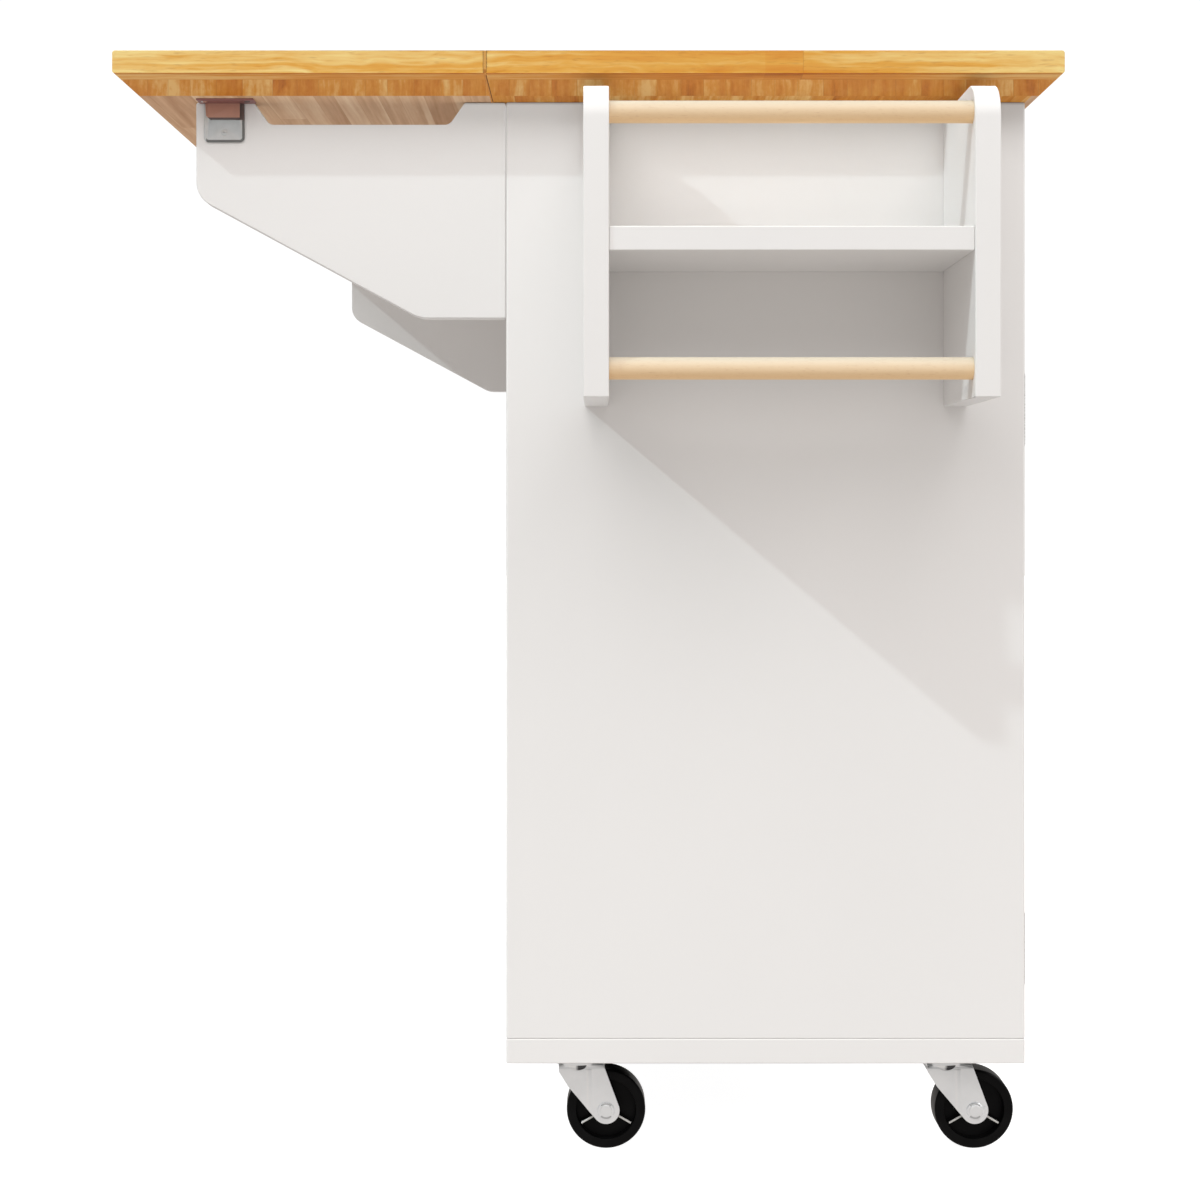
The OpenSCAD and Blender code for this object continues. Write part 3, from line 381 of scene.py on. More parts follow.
def makeBeech():
    look = beechLook
    material, sheet = newMaterial("beech", look["pale"])
    x = sheet.place()
    y = x.other("Y")
    z = x.other("Z")
    flow, lines, flecks = [sheet.noise(sheet.point(x * along, y * across, z * across), 1, detail)
                           for along, across, detail in look["grain"]]
    colour = sheet.mix((flow * 0.8 + lines * 0.5 - 0.2).clamped(), (*look["pale"], 1), (*look["warm"], 1))
    fleck = ((flecks - look["fleckFrom"]) * look["fleckSteep"]).clamped() * look["fleckShade"]
    colour = sheet.mix(fleck, colour, (*look["fleck"], 1))
    # painted light and shade: the rods are painted lighter and warmer below, and darker and cooler above
    (barLow, barHigh), (railLow, railHigh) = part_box("towel_bar"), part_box("rack_rail")
    axis = sheet.add("ShaderNodeMix", {"data_type": "FLOAT"}, {0: z > (barHigh.z + railLow.z) / 2,
                                                               2: (barLow.z + barHigh.z) / 2,
                                                               3: (railLow.z + railHigh.z) / 2})
    upward = ((z - axis) / (barHigh.z - barLow.z) * look["tintSpread"] + 0.5).clamped()
    tint = sheet.mix(upward, (*look["paintedLightBelow"], 1), (*look["paintedShadeAbove"], 1))
    colour = sheet.mix(1.0, colour, tint, "MULTIPLY")
    rough = look["roughness"] + lines * look["lineSpread"]
    normal = sheet.bump(lines, look["bump"], look["bumpDepth"])
    sheet.shine({"Base Color": colour, "Roughness": rough, "Normal": normal},
                {"IOR": 1.5, "Specular IOR Level": 0.35})
    return material


# Plated and brushed metals

metalLooks = {
    "zinc": {"colour": (0.93, 0.955, 0.97), "dull": (0.81, 0.835, 0.85), "roughness": 0.38, "brush": (160, 160, 160)},
    # a darker copy of zinc: painted shade on the caster plates and race cups under the cabinet
    "race": {"colour": (0.36, 0.37, 0.37), "dull": (0.25, 0.255, 0.26), "roughness": 0.42, "brush": (160, 160, 160)},
    "steel": {"colour": (0.60, 0.61, 0.61), "dull": (0.48, 0.49, 0.49), "roughness": 0.28, "brush": (60, 60, 900)},
    "nickel": {"colour": (0.72, 0.70, 0.66), "dull": (0.58, 0.565, 0.54), "roughness": 0.22, "brush": (40, 700, 700)},
}
metalGrain = {
    "smudge": 45, "grit": 1400, "strokeSpread": 0.16, "smudgeSpread": 0.12, "gritSpread": 0.06,
    "bump": 0.2, "bumpDepth": 0.03 * mm,
}


def metalWear(sheet, x, y, z):
    # broad smudges and fine grit
    spot = sheet.point(x, y, z)
    return sheet.noise(spot, metalGrain["smudge"], 3), sheet.noise(spot, metalGrain["grit"], 2)


def makeMetal(name):
    look = metalLooks[name]
    material, sheet = newMaterial(name, look["colour"])
    x = sheet.place()
    y = x.other("Y")
    z = x.other("Z")
    brush = look["brush"]
    strokes = sheet.noise(sheet.point(x * brush[0], y * brush[1], z * brush[2]), 1, 3)
    smudge, grit = metalWear(sheet, x, y, z)
    colour = sheet.mix((smudge * 0.7 + strokes * 0.5 - 0.25).clamped(), (*look["colour"], 1), (*look["dull"], 1))
    rough = look["roughness"] + (strokes - 0.5) * metalGrain["strokeSpread"]
    rough = rough + (smudge - 0.5) * metalGrain["smudgeSpread"]
    normal = sheet.bump(strokes * 0.5 + grit * 0.5, metalGrain["bump"], metalGrain["bumpDepth"])
    sheet.shine({"Base Color": colour, "Roughness": rough, "Normal": normal}, {"Metallic": 1.0})
    return material


# The forks: zinc, with a dimple pressed in the neck of each leg, with painted shade on one side of it and a painted
# highlight on the other, and a painted highlight along a crease

forkLook = {
    "across": 8.0 * mm, "down": 4.9 * mm, "level": 73.4 * mm, "legs": 14.0 * mm, "shaded": (0.075, 0.075, 0.078),
    # painted light and shade: shaded and lit colour the dimple, and crease is a painted highlight
    "lit": (0.96, 0.97, 0.97), "creaseHighlight": (0.97, 0.975, 0.975), "creaseIn": 8.6 * mm, "creaseHalf": 1.4 * mm,
    "axleIn": 24.5 * mm, "axleUp": 34 * mm, "ring": 6.2 * mm, "ringHalf": 1.2 * mm, "ringShade": (0.42, 0.43, 0.44),
    "ringOpen": 0.72, "creaseShare": 0.7, "dimpleSteep": 6, "shadeFrom": -0.25, "shadeSteep": 3,
    "dullFrom": 0.4, "dullSteep": 1.5, "bump": 0.5, "bumpDepth": 0.6 * mm, "grit": 0.05,
}


def makeForkZinc(swivels):
    look = forkLook
    material, sheet = newMaterial("forkZinc", metalLooks["zinc"]["colour"])
    x = sheet.place()
    y = x.other("Y")
    z = x.other("Z")
    nearX = sheet.add("ShaderNodeMix", {"data_type": "FLOAT"}, {0: x > swivels["split"], 2: swivels["x"][0],
                                                                3: swivels["x"][1]})
    nearY = sheet.add("ShaderNodeMix", {"data_type": "FLOAT"}, {0: y > 0, 2: swivels["y"][0], 3: swivels["y"][1]})
    side = (x - nearX) / look["across"]
    fall = (look["level"] - z) / look["down"]
    onLeg = (abs(y - nearY) > look["legs"]) * (fall > 0)
    inside = ((1 - side * side - fall * fall) * look["dimpleSteep"]).clamped() * onLeg
    smudge, grit = metalWear(sheet, x, y, z)
    zinc = metalLooks["zinc"]
    dull = ((smudge - look["dullFrom"]) * look["dullSteep"]).clamped()
    colour = sheet.mix(dull, (*zinc["colour"], 1), (*zinc["dull"], 1))
    # painted highlight: a lighter line along the crease of each leg
    creaseHighlight = (1 - abs(x - nearX - look["creaseIn"]) / look["creaseHalf"]).clamped() * look["creaseShare"]
    colour = sheet.mix(creaseHighlight, colour, (*look["creaseHighlight"], 1))
    # painted shade on one side of the dimple and a painted highlight on the other
    away = ((side - look["shadeFrom"]) * look["shadeSteep"]).clamped()
    colour = sheet.mix(inside, colour, sheet.mix(away, (*look["lit"], 1), (*look["shaded"], 1)))
    # painted shade: dark arcs of a ring above and below each axle's rivet
    sideways = x - nearX - look["axleIn"]
    upward = z - look["axleUp"]
    radius = (sideways * sideways + upward * upward) ** 0.5
    ring = (1 - abs(radius - look["ring"]) / look["ringHalf"]).clamped() * (abs(upward) > radius * look["ringOpen"])
    colour = sheet.mix(ring, colour, (*look["ringShade"], 1))
    rough = zinc["roughness"] + (smudge - 0.5) * metalGrain["smudgeSpread"]
    rough = rough + (grit - 0.5) * metalGrain["gritSpread"]
    normal = sheet.bump(grit * look["grit"] - inside, look["bump"], look["bumpDepth"])
    sheet.shine({"Base Color": colour, "Roughness": rough, "Normal": normal}, {"Metallic": 0.85})
    return material


# The keepers: satin steel with a painted dark rim as shade, brown painted over the tab and the flange as the wood's
# reflection, and painted shade on the tab's edges

keeperLook = {
    # painted reflection and shade: brown and flange stand for the wood reflected in the steel, while rim and
    # paintedTabRimShade darken edges
    "plate": (0.55, 0.585, 0.60), "rim": (0.145, 0.155, 0.155), "paintedWoodReflection": (0.51, 0.275, 0.21),
    "flange": (0.29, 0.12, 0.112), "paintedTabRimShade": (0.13, 0.10, 0.095), "rimWidth": 1.9 * mm, "corner": 4 * mm,
    "length": 34 * mm, "height": 34 * mm, "tabHeight": 15.5 * mm, "tabIn": 0.8 * mm, "tabCut": 3.4 * mm,
    "tabLean": 0.09, "flangeDeep": 1.7 * mm, "tabEdgeShadeWidth": 1.9, "dropIn": 4 * mm, "roughness": 0.42,
    "brush": (60, 60, 900), "smudge": 160, "smudgeFrom": 0.4, "smudgeShade": 0.3, "strokeSpread": 0.2,
    "smudgeSpread": 0.1,
}


def insideSheet(sheet, x, z, half, drop, corner):
    # how far a point lies inside a sheet that hangs from z = 0 with rounded lower corners
    sideways = (abs(x) - (half - corner)).atLeast(0)
    down = (z * -1 - (drop - corner)).atLeast(0)
    return corner - (sideways * sideways + down * down) ** 0.5


def makeKeeperSteel(low, high):
    look = keeperLook
    material, sheet = newMaterial("keeperSteel", look["plate"])
    x = sheet.place()
    y = x.other("Y")
    z = x.other("Z") - high.z
    across = x - (low.x + look["dropIn"] + look["length"] / 2)
    plateIn = insideSheet(sheet, across, z, look["length"] / 2, look["height"], look["corner"])
    brush = look["brush"]
    strokes = sheet.noise(sheet.point(x * brush[0], y * brush[1], z * brush[2]), 1, 3)
    smudge = sheet.noise(sheet.point(x, y, z), look["smudge"], 3)
    # painted shade: a dark rim along the plate's right and lower edges
    rim = (plateIn < look["rimWidth"]) * (across > look["rimWidth"] - look["length"] / 2)
    colour = sheet.mix(rim, (*look["plate"], 1), (*look["rim"], 1))
    # painted reflection: brown over the tab for the wood it reflects, and a darker brown on the flange, which is in
    # shade
    fromTabEnd = z + look["tabHeight"]
    cut = (look["tabCut"] - fromTabEnd).atLeast(0)
    tabIn = across + look["length"] / 2 - look["tabIn"] + z * look["tabLean"] - cut
    paintedReflectionArea = (fromTabEnd > 0) * (tabIn > 0)
    colour = sheet.mix(paintedReflectionArea * (1 - rim), colour, (*look["paintedWoodReflection"], 1))
    # painted shade: a darker brown along the tab's lower and right edges
    paintedTabEdgeShade = (plateIn < look["rimWidth"] * look["tabEdgeShadeWidth"]) * (across > 0)
    colour = sheet.mix(paintedReflectionArea * ((fromTabEnd < look["rimWidth"]) + paintedTabEdgeShade).clamped(), colour, (*look["paintedTabRimShade"], 1))
    colour = sheet.mix(z > -look["flangeDeep"], colour, (*look["flange"], 1))
    dirty = (smudge - look["smudgeFrom"]).clamped() * look["smudgeShade"]
    colour = sheet.mix(dirty, colour, (*look["rim"], 1))
    rough = look["roughness"] + (strokes - 0.5) * look["strokeSpread"] + (smudge - 0.5) * look["smudgeSpread"]
    normal = sheet.bump(strokes, metalGrain["bump"], metalGrain["bumpDepth"])
    sheet.shine({"Base Color": colour, "Roughness": rough, "Normal": normal}, {"Metallic": 0.35})
    return material


# Moulded plastics: black wheels, pale caps on their ribs as painted highlight, and the catches

plasticLooks = {
    "blackWheel": {"colour": (0.003, 0.003, 0.0032), "worn": (0.008, 0.008, 0.008), "roughness": 0.36, "gloss": 0.08},
    # painted highlight: paintedRibHighlight colours the caps on the wheels' ribs
    "paintedRibHighlight": {"colour": (0.62, 0.62, 0.60), "worn": (0.50, 0.50, 0.48), "roughness": 0.45, "gloss": 0.5},
    "catchPlastic": {"colour": (0.74, 0.73, 0.70), "worn": (0.62, 0.61, 0.58), "roughness": 0.5, "gloss": 0.5},
}
plasticGrain = {
    "patch": 60, "grit": 1100, "wornFrom": 0.45, "wornSteep": 2, "patchSpread": 0.2, "gritSpread": 0.1,
    "bump": 0.3, "bumpDepth": 0.04 * mm,
}


def makePlastic(name):
    look, grain = plasticLooks[name], plasticGrain
    material, sheet = newMaterial(name, look["colour"])
    x = sheet.place()
    spot = sheet.point(x, x.other("Y"), x.other("Z"))
    patch = sheet.noise(spot, grain["patch"], 4)
    grit = sheet.noise(spot, grain["grit"], 2)
    worn = ((patch - grain["wornFrom"]) * grain["wornSteep"]).clamped()
    colour = sheet.mix(worn, (*look["colour"], 1), (*look["worn"], 1))
    rough = look["roughness"] + (patch - 0.5) * grain["patchSpread"] + (grit - 0.5) * grain["gritSpread"]
    normal = sheet.bump(grit, grain["bump"], grain["bumpDepth"])
    fixed = {"IOR": 1.5, "Specular IOR Level": look["gloss"]}
    sheet.shine({"Base Color": colour, "Roughness": rough, "Normal": normal}, fixed)
    return material


# Drawer boxes: pale foil with a faint linear grain

foilLook = {
    "pale": (0.78, 0.76, 0.72), "line": (0.66, 0.63, 0.58), "roughness": 0.5, "lineSpread": 0.1,
    "along": 12, "across": 420, "lineFrom": 0.4, "lineSteep": 2, "bump": 0.2, "bumpDepth": 0.05 * mm,
}


def makeFoil():
    look = foilLook
    material, sheet = newMaterial("drawerFoil", look["pale"])
    x = sheet.place()
    y = x.other("Y")
    z = x.other("Z")
    lines = sheet.noise(sheet.point(x * look["along"], y * look["along"], z * look["across"]), 1, 4)
    line = ((lines - look["lineFrom"]) * look["lineSteep"]).clamped()
    colour = sheet.mix(line, (*look["pale"], 1), (*look["line"], 1))
    rough = look["roughness"] + lines * look["lineSpread"]
    normal = sheet.bump(lines, look["bump"], look["bumpDepth"])
    sheet.shine({"Base Color": colour, "Roughness": rough, "Normal": normal}, {"IOR": 1.45})
    return material


topLow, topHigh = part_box("worktop")
leafLow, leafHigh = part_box("leaf_board")
topMiddle = (topLow.y + topHigh.y) / 2
topHalf = (topHigh.y - topLow.y) / 2
seamX = (leafHigh.x + topLow.x) / 2
materials = {
    "white_paint": makePaint(),
    "rubberwood": makeWood(woodLook, topMiddle, topHalf, topLow.z, seamX),
    "beech_rod": makeBeech(),
    "drawer_board": makeFoil(),
    "zinc": makeMetal("zinc"),
    "steel": makeMetal("steel"),
    "nickel": makeMetal("nickel"),
    "black_wheel": makePlastic("blackWheel"),
    "catch_plastic": makePlastic("catchPlastic"),
}
keeperSteel = makeKeeperSteel(*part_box("keepers"))
raceSteel = makeMetal("race")
headLow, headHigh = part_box("caster_screws")
plateHalf = (27.4 * mm, 22.4 * mm)
swivels = {
    "x": (headLow.x + plateHalf[0], headHigh.x - plateHalf[0]), "split": (headLow.x + headHigh.x) / 2,
    "y": (headLow.y + plateHalf[1], headHigh.y - plateHalf[1]),
}
forkZinc = makeForkZinc(swivels)
paintedRibHighlight = makePlastic("paintedRibHighlight")
print("materials made:", len(bpy.data.materials))


# Pieces

def slotOf(name):
    starts = {
        "worktop": "rubberwood", "leaf_board": "rubberwood", "rack_rail": "beech_rod", "towel_bar": "beech_rod",
        "drawer_box": "drawer_board", "drawer_runners": "zinc", "drawer_slides": "zinc", "caster_plates": "zinc",
        "caster_fork": "zinc", "shelf_pins": "zinc", "hinge_pins": "steel", "caster_screws": "steel",
        "caster_balls": "steel", "caster_wheel": "black_wheel", "hinge_plates": "steel", "leaf_hinge": "steel",
        "keepers": "steel", "support_wings": "steel", "door_wings": "steel", "door_knob": "nickel",
        "drawer_knob": "nickel", "door_catches": "catch_plastic",
    }
    found = [slot for start, slot in starts.items() if name.startswith(start)]
    return found[0] if found else "white_paint"


def addPiece(name, mesh, body, slot, material, replaced):
    mesh.materials.clear()
    mesh.materials.append(material or materials[slot])
    piece = bpy.data.objects.new(name, mesh)
    bpy.context.scene.collection.objects.link(piece)
    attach(piece, body)
    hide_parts(*replaced)
    return piece


# A softened copy of a board or casting: its outer edges are rounded a little

softEdges = {
    "board": 1.0 * mm, "top": 0.4 * mm, "atSeam": 0.5, "sheetMetal": 0.35 * mm, "keeper": 0.6 * mm,
    "wheel": 0.4 * mm, "steps": 3, "sharp": 30, "flat": 0.6, "merge": 0.002 * mm, "seamReach": 2 * mm,
}


def softCopy(node, radius, material=None):
    mesh = nodes[node].data.copy()
    shape = bmesh.new()
    shape.from_mesh(mesh)
    bmesh.ops.remove_doubles(shape, verts=shape.verts, dist=softEdges["merge"])
    flat = math.radians(softEdges["flat"])
    bmesh.ops.dissolve_limit(shape, angle_limit=flat, verts=shape.verts, edges=shape.edges)
    weight = shape.edges.layers.float.new("bevel_weight_edge")
    sharp = math.radians(softEdges["sharp"])
    for edge in shape.edges:
        if len(edge.link_faces) == 2 and edge.is_convex and edge.calc_face_angle(0) > sharp:
            nearSeam = max(abs(vert.co.x - seamX) for vert in edge.verts) < softEdges["seamReach"]
            edge[weight] = softEdges["atSeam"] if nearSeam else 1.0
    for face in shape.faces:
        face.smooth = True
    shape.to_mesh(mesh)
    shape.free()
    mesh.set_sharp_from_angle(angle=sharp)
    piece = addPiece(node + "_soft", mesh, nodes[node]["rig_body"], slotOf(node), material, [node])
    bevel = piece.modifiers.new("soften", "BEVEL")
    bevel.limit_method = "WEIGHT"
    bevel.width = radius
    bevel.segments = softEdges["steps"]
    bevel.use_clamp_overlap = False
    bevel.harden_normals = True
    return piece


boards = [
    "side_panel_near", "side_panel_far", "bottom_board", "back_panel", "partition", "front_stretcher",
    "back_stretcher", "drawer_rails", "shelf_near", "shelf_far", "rack_side_back", "rack_side_front",
    "rack_shelf", "rack_rail", "towel_bar", "support_near", "support_far", "drawer_front_1",
    "drawer_front_2", "drawer_box_1", "drawer_box_2", "door_1", "door_2", "door_3", "door_4",
]
for board in boards:
    softCopy(board, softEdges["board"])
for board in ["worktop", "leaf_board"]:
    softCopy(board, softEdges["top"])
for number in "1234":
    softCopy("caster_fork_" + number, softEdges["sheetMetal"], forkZinc)
    softCopy("caster_wheel_" + number, softEdges["wheel"])
# the caster plates take the darker zinc, which is painted shade
softCopy("caster_plates", softEdges["sheetMetal"], raceSteel)
softCopy("keepers", softEdges["keeper"], keeperSteel)
for node, made in nodes.items():
    if not made.hide_render:
        made.data.materials.clear()
        made.data.materials.append(materials[slotOf(node)])
print("boards and castings softened:", len(boards))


# What repeats: screws, and pale caps on the wheels' ribs as painted highlight, grown on points by node trees

def newTree(name, sizes):
    tree = bpy.data.node_groups.new(name, "GeometryNodeTree")
    tree.interface.new_socket("Points", in_out="INPUT", socket_type="NodeSocketGeometry")
    for label, value in sizes.items():
        tree.interface.new_socket(label, in_out="INPUT", socket_type="NodeSocketFloat").default_value = value
    tree.interface.new_socket("Finish", in_out="INPUT", socket_type="NodeSocketMaterial")
    tree.interface.new_socket("Pieces", in_out="OUTPUT", socket_type="NodeSocketGeometry")
    sheet = Sheet(tree)
    return tree, sheet, sheet.add("NodeGroupInput", {}, {}, "Points")


def spreadOnPoints(tree, sheet, given, shape):
    # each copy's Z turns to the point's facing, its X to the point's side
    facing = sheet.add("GeometryNodeInputNamedAttribute", {"data_type": "FLOAT_VECTOR"}, {"Name": "facing"}, 0)
    side = sheet.add("GeometryNodeInputNamedAttribute", {"data_type": "FLOAT_VECTOR"}, {"Name": "side"}, 0)
    turn = sheet.add("FunctionNodeAxesToRotation", {"primary_axis": "Z", "secondary_axis": "X"},
                     {"Primary Axis": facing, "Secondary Axis": side})
    copies = sheet.add("GeometryNodeInstanceOnPoints", {}, {"Points": given, "Instance": shape, "Rotation": turn})
    real = sheet.add("GeometryNodeRealizeInstances", {}, {"Geometry": copies})
    done = sheet.add("GeometryNodeSetMaterial", {}, {"Geometry": real, "Material": given.other("Finish")})
    output = tree.nodes.new("NodeGroupOutput")
    tree.links.new(done.socket, output.inputs["Pieces"])
    return tree


crossCut = {"reach": 1.1, "up": 0.95}                 # in parts of the head's radius and height


def makeScrewTree():
    tree, sheet, given = newTree("screwHeads", {"Radius": 3 * mm, "Height": 1 * mm, "Slot": 0.8 * mm})
    radius, height, slot = given.other("Radius"), given.other("Height"), given.other("Slot")
    ball = sheet.add("GeometryNodeMeshUVSphere", {}, {"Segments": 20, "Rings": 10, "Radius": radius})
    flatter = sheet.point(1.0, 1.0, height / radius)
    dome = sheet.add("GeometryNodeTransform", {}, {"Geometry": ball, "Scale": flatter})
    bars = []
    reach = radius * crossCut["reach"]
    for size in [(reach, slot), (slot, reach)]:
        bar = sheet.add("GeometryNodeMeshCube", {}, {"Size": sheet.point(*size, height)})
        bars.append(sheet.add("GeometryNodeTransform", {}, {
            "Geometry": bar, "Translation": sheet.point(0.0, 0.0, height * crossCut["up"])}))
    cut = sheet.add("GeometryNodeMeshBoolean", {"operation": "DIFFERENCE"}, {"Mesh 1": dome})
    for bar in bars:
        tree.links.new(bar.socket, cut.socket.node.inputs["Mesh 2"])
    return spreadOnPoints(tree, sheet, given, cut)


def makeRibTree():
    tree, sheet, given = newTree("ribHighlightCaps", {"Inner": 10 * mm, "Outer": 25 * mm, "Width": 1.6 * mm})
    inner, outer, width = given.other("Inner"), given.other("Outer"), given.other("Width")
    bar = sheet.add("GeometryNodeMeshCylinder", {}, {"Vertices": 12, "Radius": width / 2, "Depth": outer - inner})
    flat = sheet.add("GeometryNodeTransform", {}, {
        "Geometry": bar, "Rotation": (0, math.radians(90), 0),
        "Translation": sheet.point((inner + outer) / 2, 0.0, 0.0)})
    return spreadOnPoints(tree, sheet, given, flat)


def grow(name, tree, spots, sizes, body, material):
    # spots: (place, facing, side) for each copy
    mesh = bpy.data.meshes.new(name)
    mesh.from_pydata([spot[0] for spot in spots], [], [])
    for label, part in (("facing", 1), ("side", 2)):
        layer = mesh.attributes.new(label, "FLOAT_VECTOR", "POINT")
        for item, spot in zip(layer.data, spots):
            item.vector = spot[part]
    piece = bpy.data.objects.new(name, mesh)
    bpy.context.scene.collection.objects.link(piece)
    modifier = piece.modifiers.new("grow", "NODES")
    modifier.node_group = tree
    given = {**sizes, "Finish": material}
    for item in tree.interface.items_tree:
        if item.in_out == "INPUT" and item.name in given:
            modifier[item.identifier] = given[item.name]
    ready = piece.evaluated_get(bpy.context.evaluated_depsgraph_get())
    grown = bpy.data.meshes.new_from_object(ready)
    piece.modifiers.clear()
    piece.data = grown
    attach(piece, body)
    return piece


screwSet = {
    "hinge": {"Radius": 3.0 * mm, "Height": 0.7 * mm, "Slot": 0.8 * mm},
    "flat": {"Radius": 1.85 * mm, "Height": 0.22 * mm, "Slot": 0.6 * mm},
    "keeper": {"Radius": 2.7 * mm, "Height": 0.9 * mm, "Slot": 0.7 * mm},
    "caster": {"Radius": 4.0 * mm, "Height": 0.9 * mm, "Slot": 1.2 * mm},
    "holeIn": 6.8 * mm, "hingeLength": 60 * mm, "hingeWidth": 17 * mm, "hingeSheet": 0.95 * mm, "knuckle": 1.8 * mm,
    "halfGap": 0.3 * mm, "supportPin": 2.1 * mm, "leafHingeLength": 76 * mm, "keeperHoleDown": 26 * mm,
    "keeperFlange": 17 * mm, "keeperSheet": 1.6 * mm, "keeperHoleIn": 6 * mm, "keeperHoleOut": 11 * mm,
    "plateHoles": (46 * mm, 36 * mm), "casterHead": 4.4 * mm,
}
down, east = (0, 0, -1), (1, 0, 0)


def leafHingeSpots(node, onLeaf):
    low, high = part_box(node)
    x = low.x + screwSet["holeIn"] if onLeaf else high.x - screwSet["holeIn"]
    length = screwSet["leafHingeLength"]
    centres = [low.y + length / 2, (low.y + high.y) / 2, high.y - length / 2]
    return [((x, y + row * length / 3, topLow.z), down, east) for y in centres for row in (-1, 0, 1)]


def hingeHeights(low, high):
    length = screwSet["hingeLength"]
    return [z + row * length / 3 for z in (low.z + length / 2, high.z - length / 2) for row in (-1, 1)]


def doorHingeSpots(number, way):
    # on the door's wing, and on the plate that faces it across the gap
    low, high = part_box("door_wings_" + number)
    x = high.x - screwSet["knuckle"] - screwSet["hingeWidth"] + screwSet["holeIn"]
    y, gap = (low.y + high.y) / 2, screwSet["halfGap"]
    onDoor = [((x, y + way * gap, z), (0, -way, 0), east) for z in hingeHeights(low, high)]
    onWall = [((x, y - way * gap, z), (0, way, 0), east) for z in hingeHeights(low, high)]
    return onDoor, onWall


def supportHingeSpots(end, way):
    # on the support's wing, and on the plate that lies on the back panel
    low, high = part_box("support_wings_" + end)
    face = low.y + screwSet["hingeSheet"] if way > 0 else high.y - screwSet["hingeSheet"]
    pinX = low.x + screwSet["hingeWidth"]
    pinY = high.y - screwSet["knuckle"] if way > 0 else low.y + screwSet["knuckle"]
    plateX = pinX + screwSet["supportPin"] - screwSet["hingeSheet"]
    plateY = pinY + way * (screwSet["hingeWidth"] - screwSet["holeIn"])
    heights = hingeHeights(low, high)
    onSupport = [((low.x + screwSet["holeIn"], face, z), (0, way, 0), east) for z in heights]
    onBack = [((plateX, plateY, z), (-1, 0, 0), (0, 1, 0)) for z in heights]
    return onSupport, onBack


def keeperSpots():
    low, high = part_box("keepers")
    dropX = low.x + keeperLook["dropIn"] + keeperLook["length"] / 2
    spots = []
    for y, way in ((low.y + screwSet["keeperFlange"], -1), (high.y - screwSet["keeperFlange"], 1)):
        face = y + way * screwSet["keeperSheet"]
        spots.append(((dropX, face, high.z - screwSet["keeperHoleDown"]), (0, way, 0), east))
        for x in (low.x + screwSet["keeperHoleIn"], high.x - screwSet["keeperHoleIn"]):
            place = (x, y + way * screwSet["keeperHoleOut"], high.z - screwSet["keeperSheet"])
            spots.append((place, down, east))
    return spots


def casterSpots():
    # under every screw of the four caster plates
    low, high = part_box("caster_screws")
    head, (alongX, alongY) = screwSet["casterHead"], screwSet["plateHoles"]
    columns = [low.x + head, low.x + head + alongX, high.x - head - alongX, high.x - head]
    rows = [low.y + head, low.y + head + alongY, high.y - head - alongY, high.y - head]
    return [((x, y, low.z), down, east) for x in columns for y in rows]


def makeScrews():
    tree = makeScrewTree()
    sets = [
        ("leaf_hinge_screws_top", leafHingeSpots("leaf_hinge_plates", False), "hinge", "root"),
        ("leaf_hinge_screws_leaf", leafHingeSpots("leaf_hinge_wings", True), "hinge", "leaf"),
        ("keeper_screws", keeperSpots(), "keeper", "leaf"),
        ("caster_screw_heads", casterSpots(), "caster", "root"),
    ]
    onCabinet = []
    for number, way in zip("1234", (1, -1, 1, -1)):
        onDoor, onWall = doorHingeSpots(number, way)
        sets.append(("door_hinge_screws_" + number, onDoor, "flat", "door_" + number))
        onCabinet += onWall
    for end, way in (("near", 1), ("far", -1)):
        onSupport, onBack = supportHingeSpots(end, way)
        sets.append(("support_hinge_screws_" + end, onSupport, "flat", "support_" + end))
        onCabinet += onBack
    sets.append(("cabinet_hinge_screws", onCabinet, "flat", "root"))
    for name, spots, size, body in sets:
        finish = keeperSteel if size == "keeper" else materials["steel"]
        grow(name, tree, spots, screwSet[size], body, finish)


ribSet = {
    "Inner": 9.5 * mm, "Outer": 24.6 * mm, "Width": 1.8 * mm, "faceBack": 2.0 * mm, "hubOut": 1.0 * mm,
    "turns": (90, 210, 330),
}


def makeRibs():
    # painted highlight: a pale cap on the edge of each rib, on both sides of the wheel, stands for light catching the
    # rib
    tree = makeRibTree()
    sizes = {label: ribSet[label] for label in ("Inner", "Outer", "Width")}
    for number in "1234":
        low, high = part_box("caster_wheel_" + number)
        middle = (low + high) / 2
        out = (high.y - low.y) / 2 - ribSet["hubOut"] - ribSet["faceBack"]
        spots = []
        for way in (-1, 1):
            for turn in ribSet["turns"]:
                angle = math.radians(turn)
                side = (math.cos(angle), 0, math.sin(angle))
                spots.append(((middle.x, middle.y + way * out, middle.z), (0, way, 0), side))
        grow("wheel_ribs_" + number, tree, spots, sizes, "wheel_" + number, paintedRibHighlight)


makeScrews()
makeRibs()
print("screws and wheel ribs grown")


# Floor, light and camera

stageLook = {
    "floor": (0.35, 0.35, 0.35), "floorSize": 30.0, "glow": 0.97, "card": (0.88, 0.87, 0.86), "cardGlow": 0.2,
    "shade": 33.6 * mm, "rackFront": 24 * mm, "above": 0.42, "below": 0.67, "backdrop": 1.05,
    "aboveTint": (1.0, 0.972, 0.957), "belowTint": (1.0, 0.94, 0.90), "horizon": 8,
    "glowTint": (0.90, 0.96, 1.0), "railInset": 5 * mm, "cardUp": 0.8 * mm, "glowCardUp": 0.5 * mm, "shadeUp": 1 * mm,
}


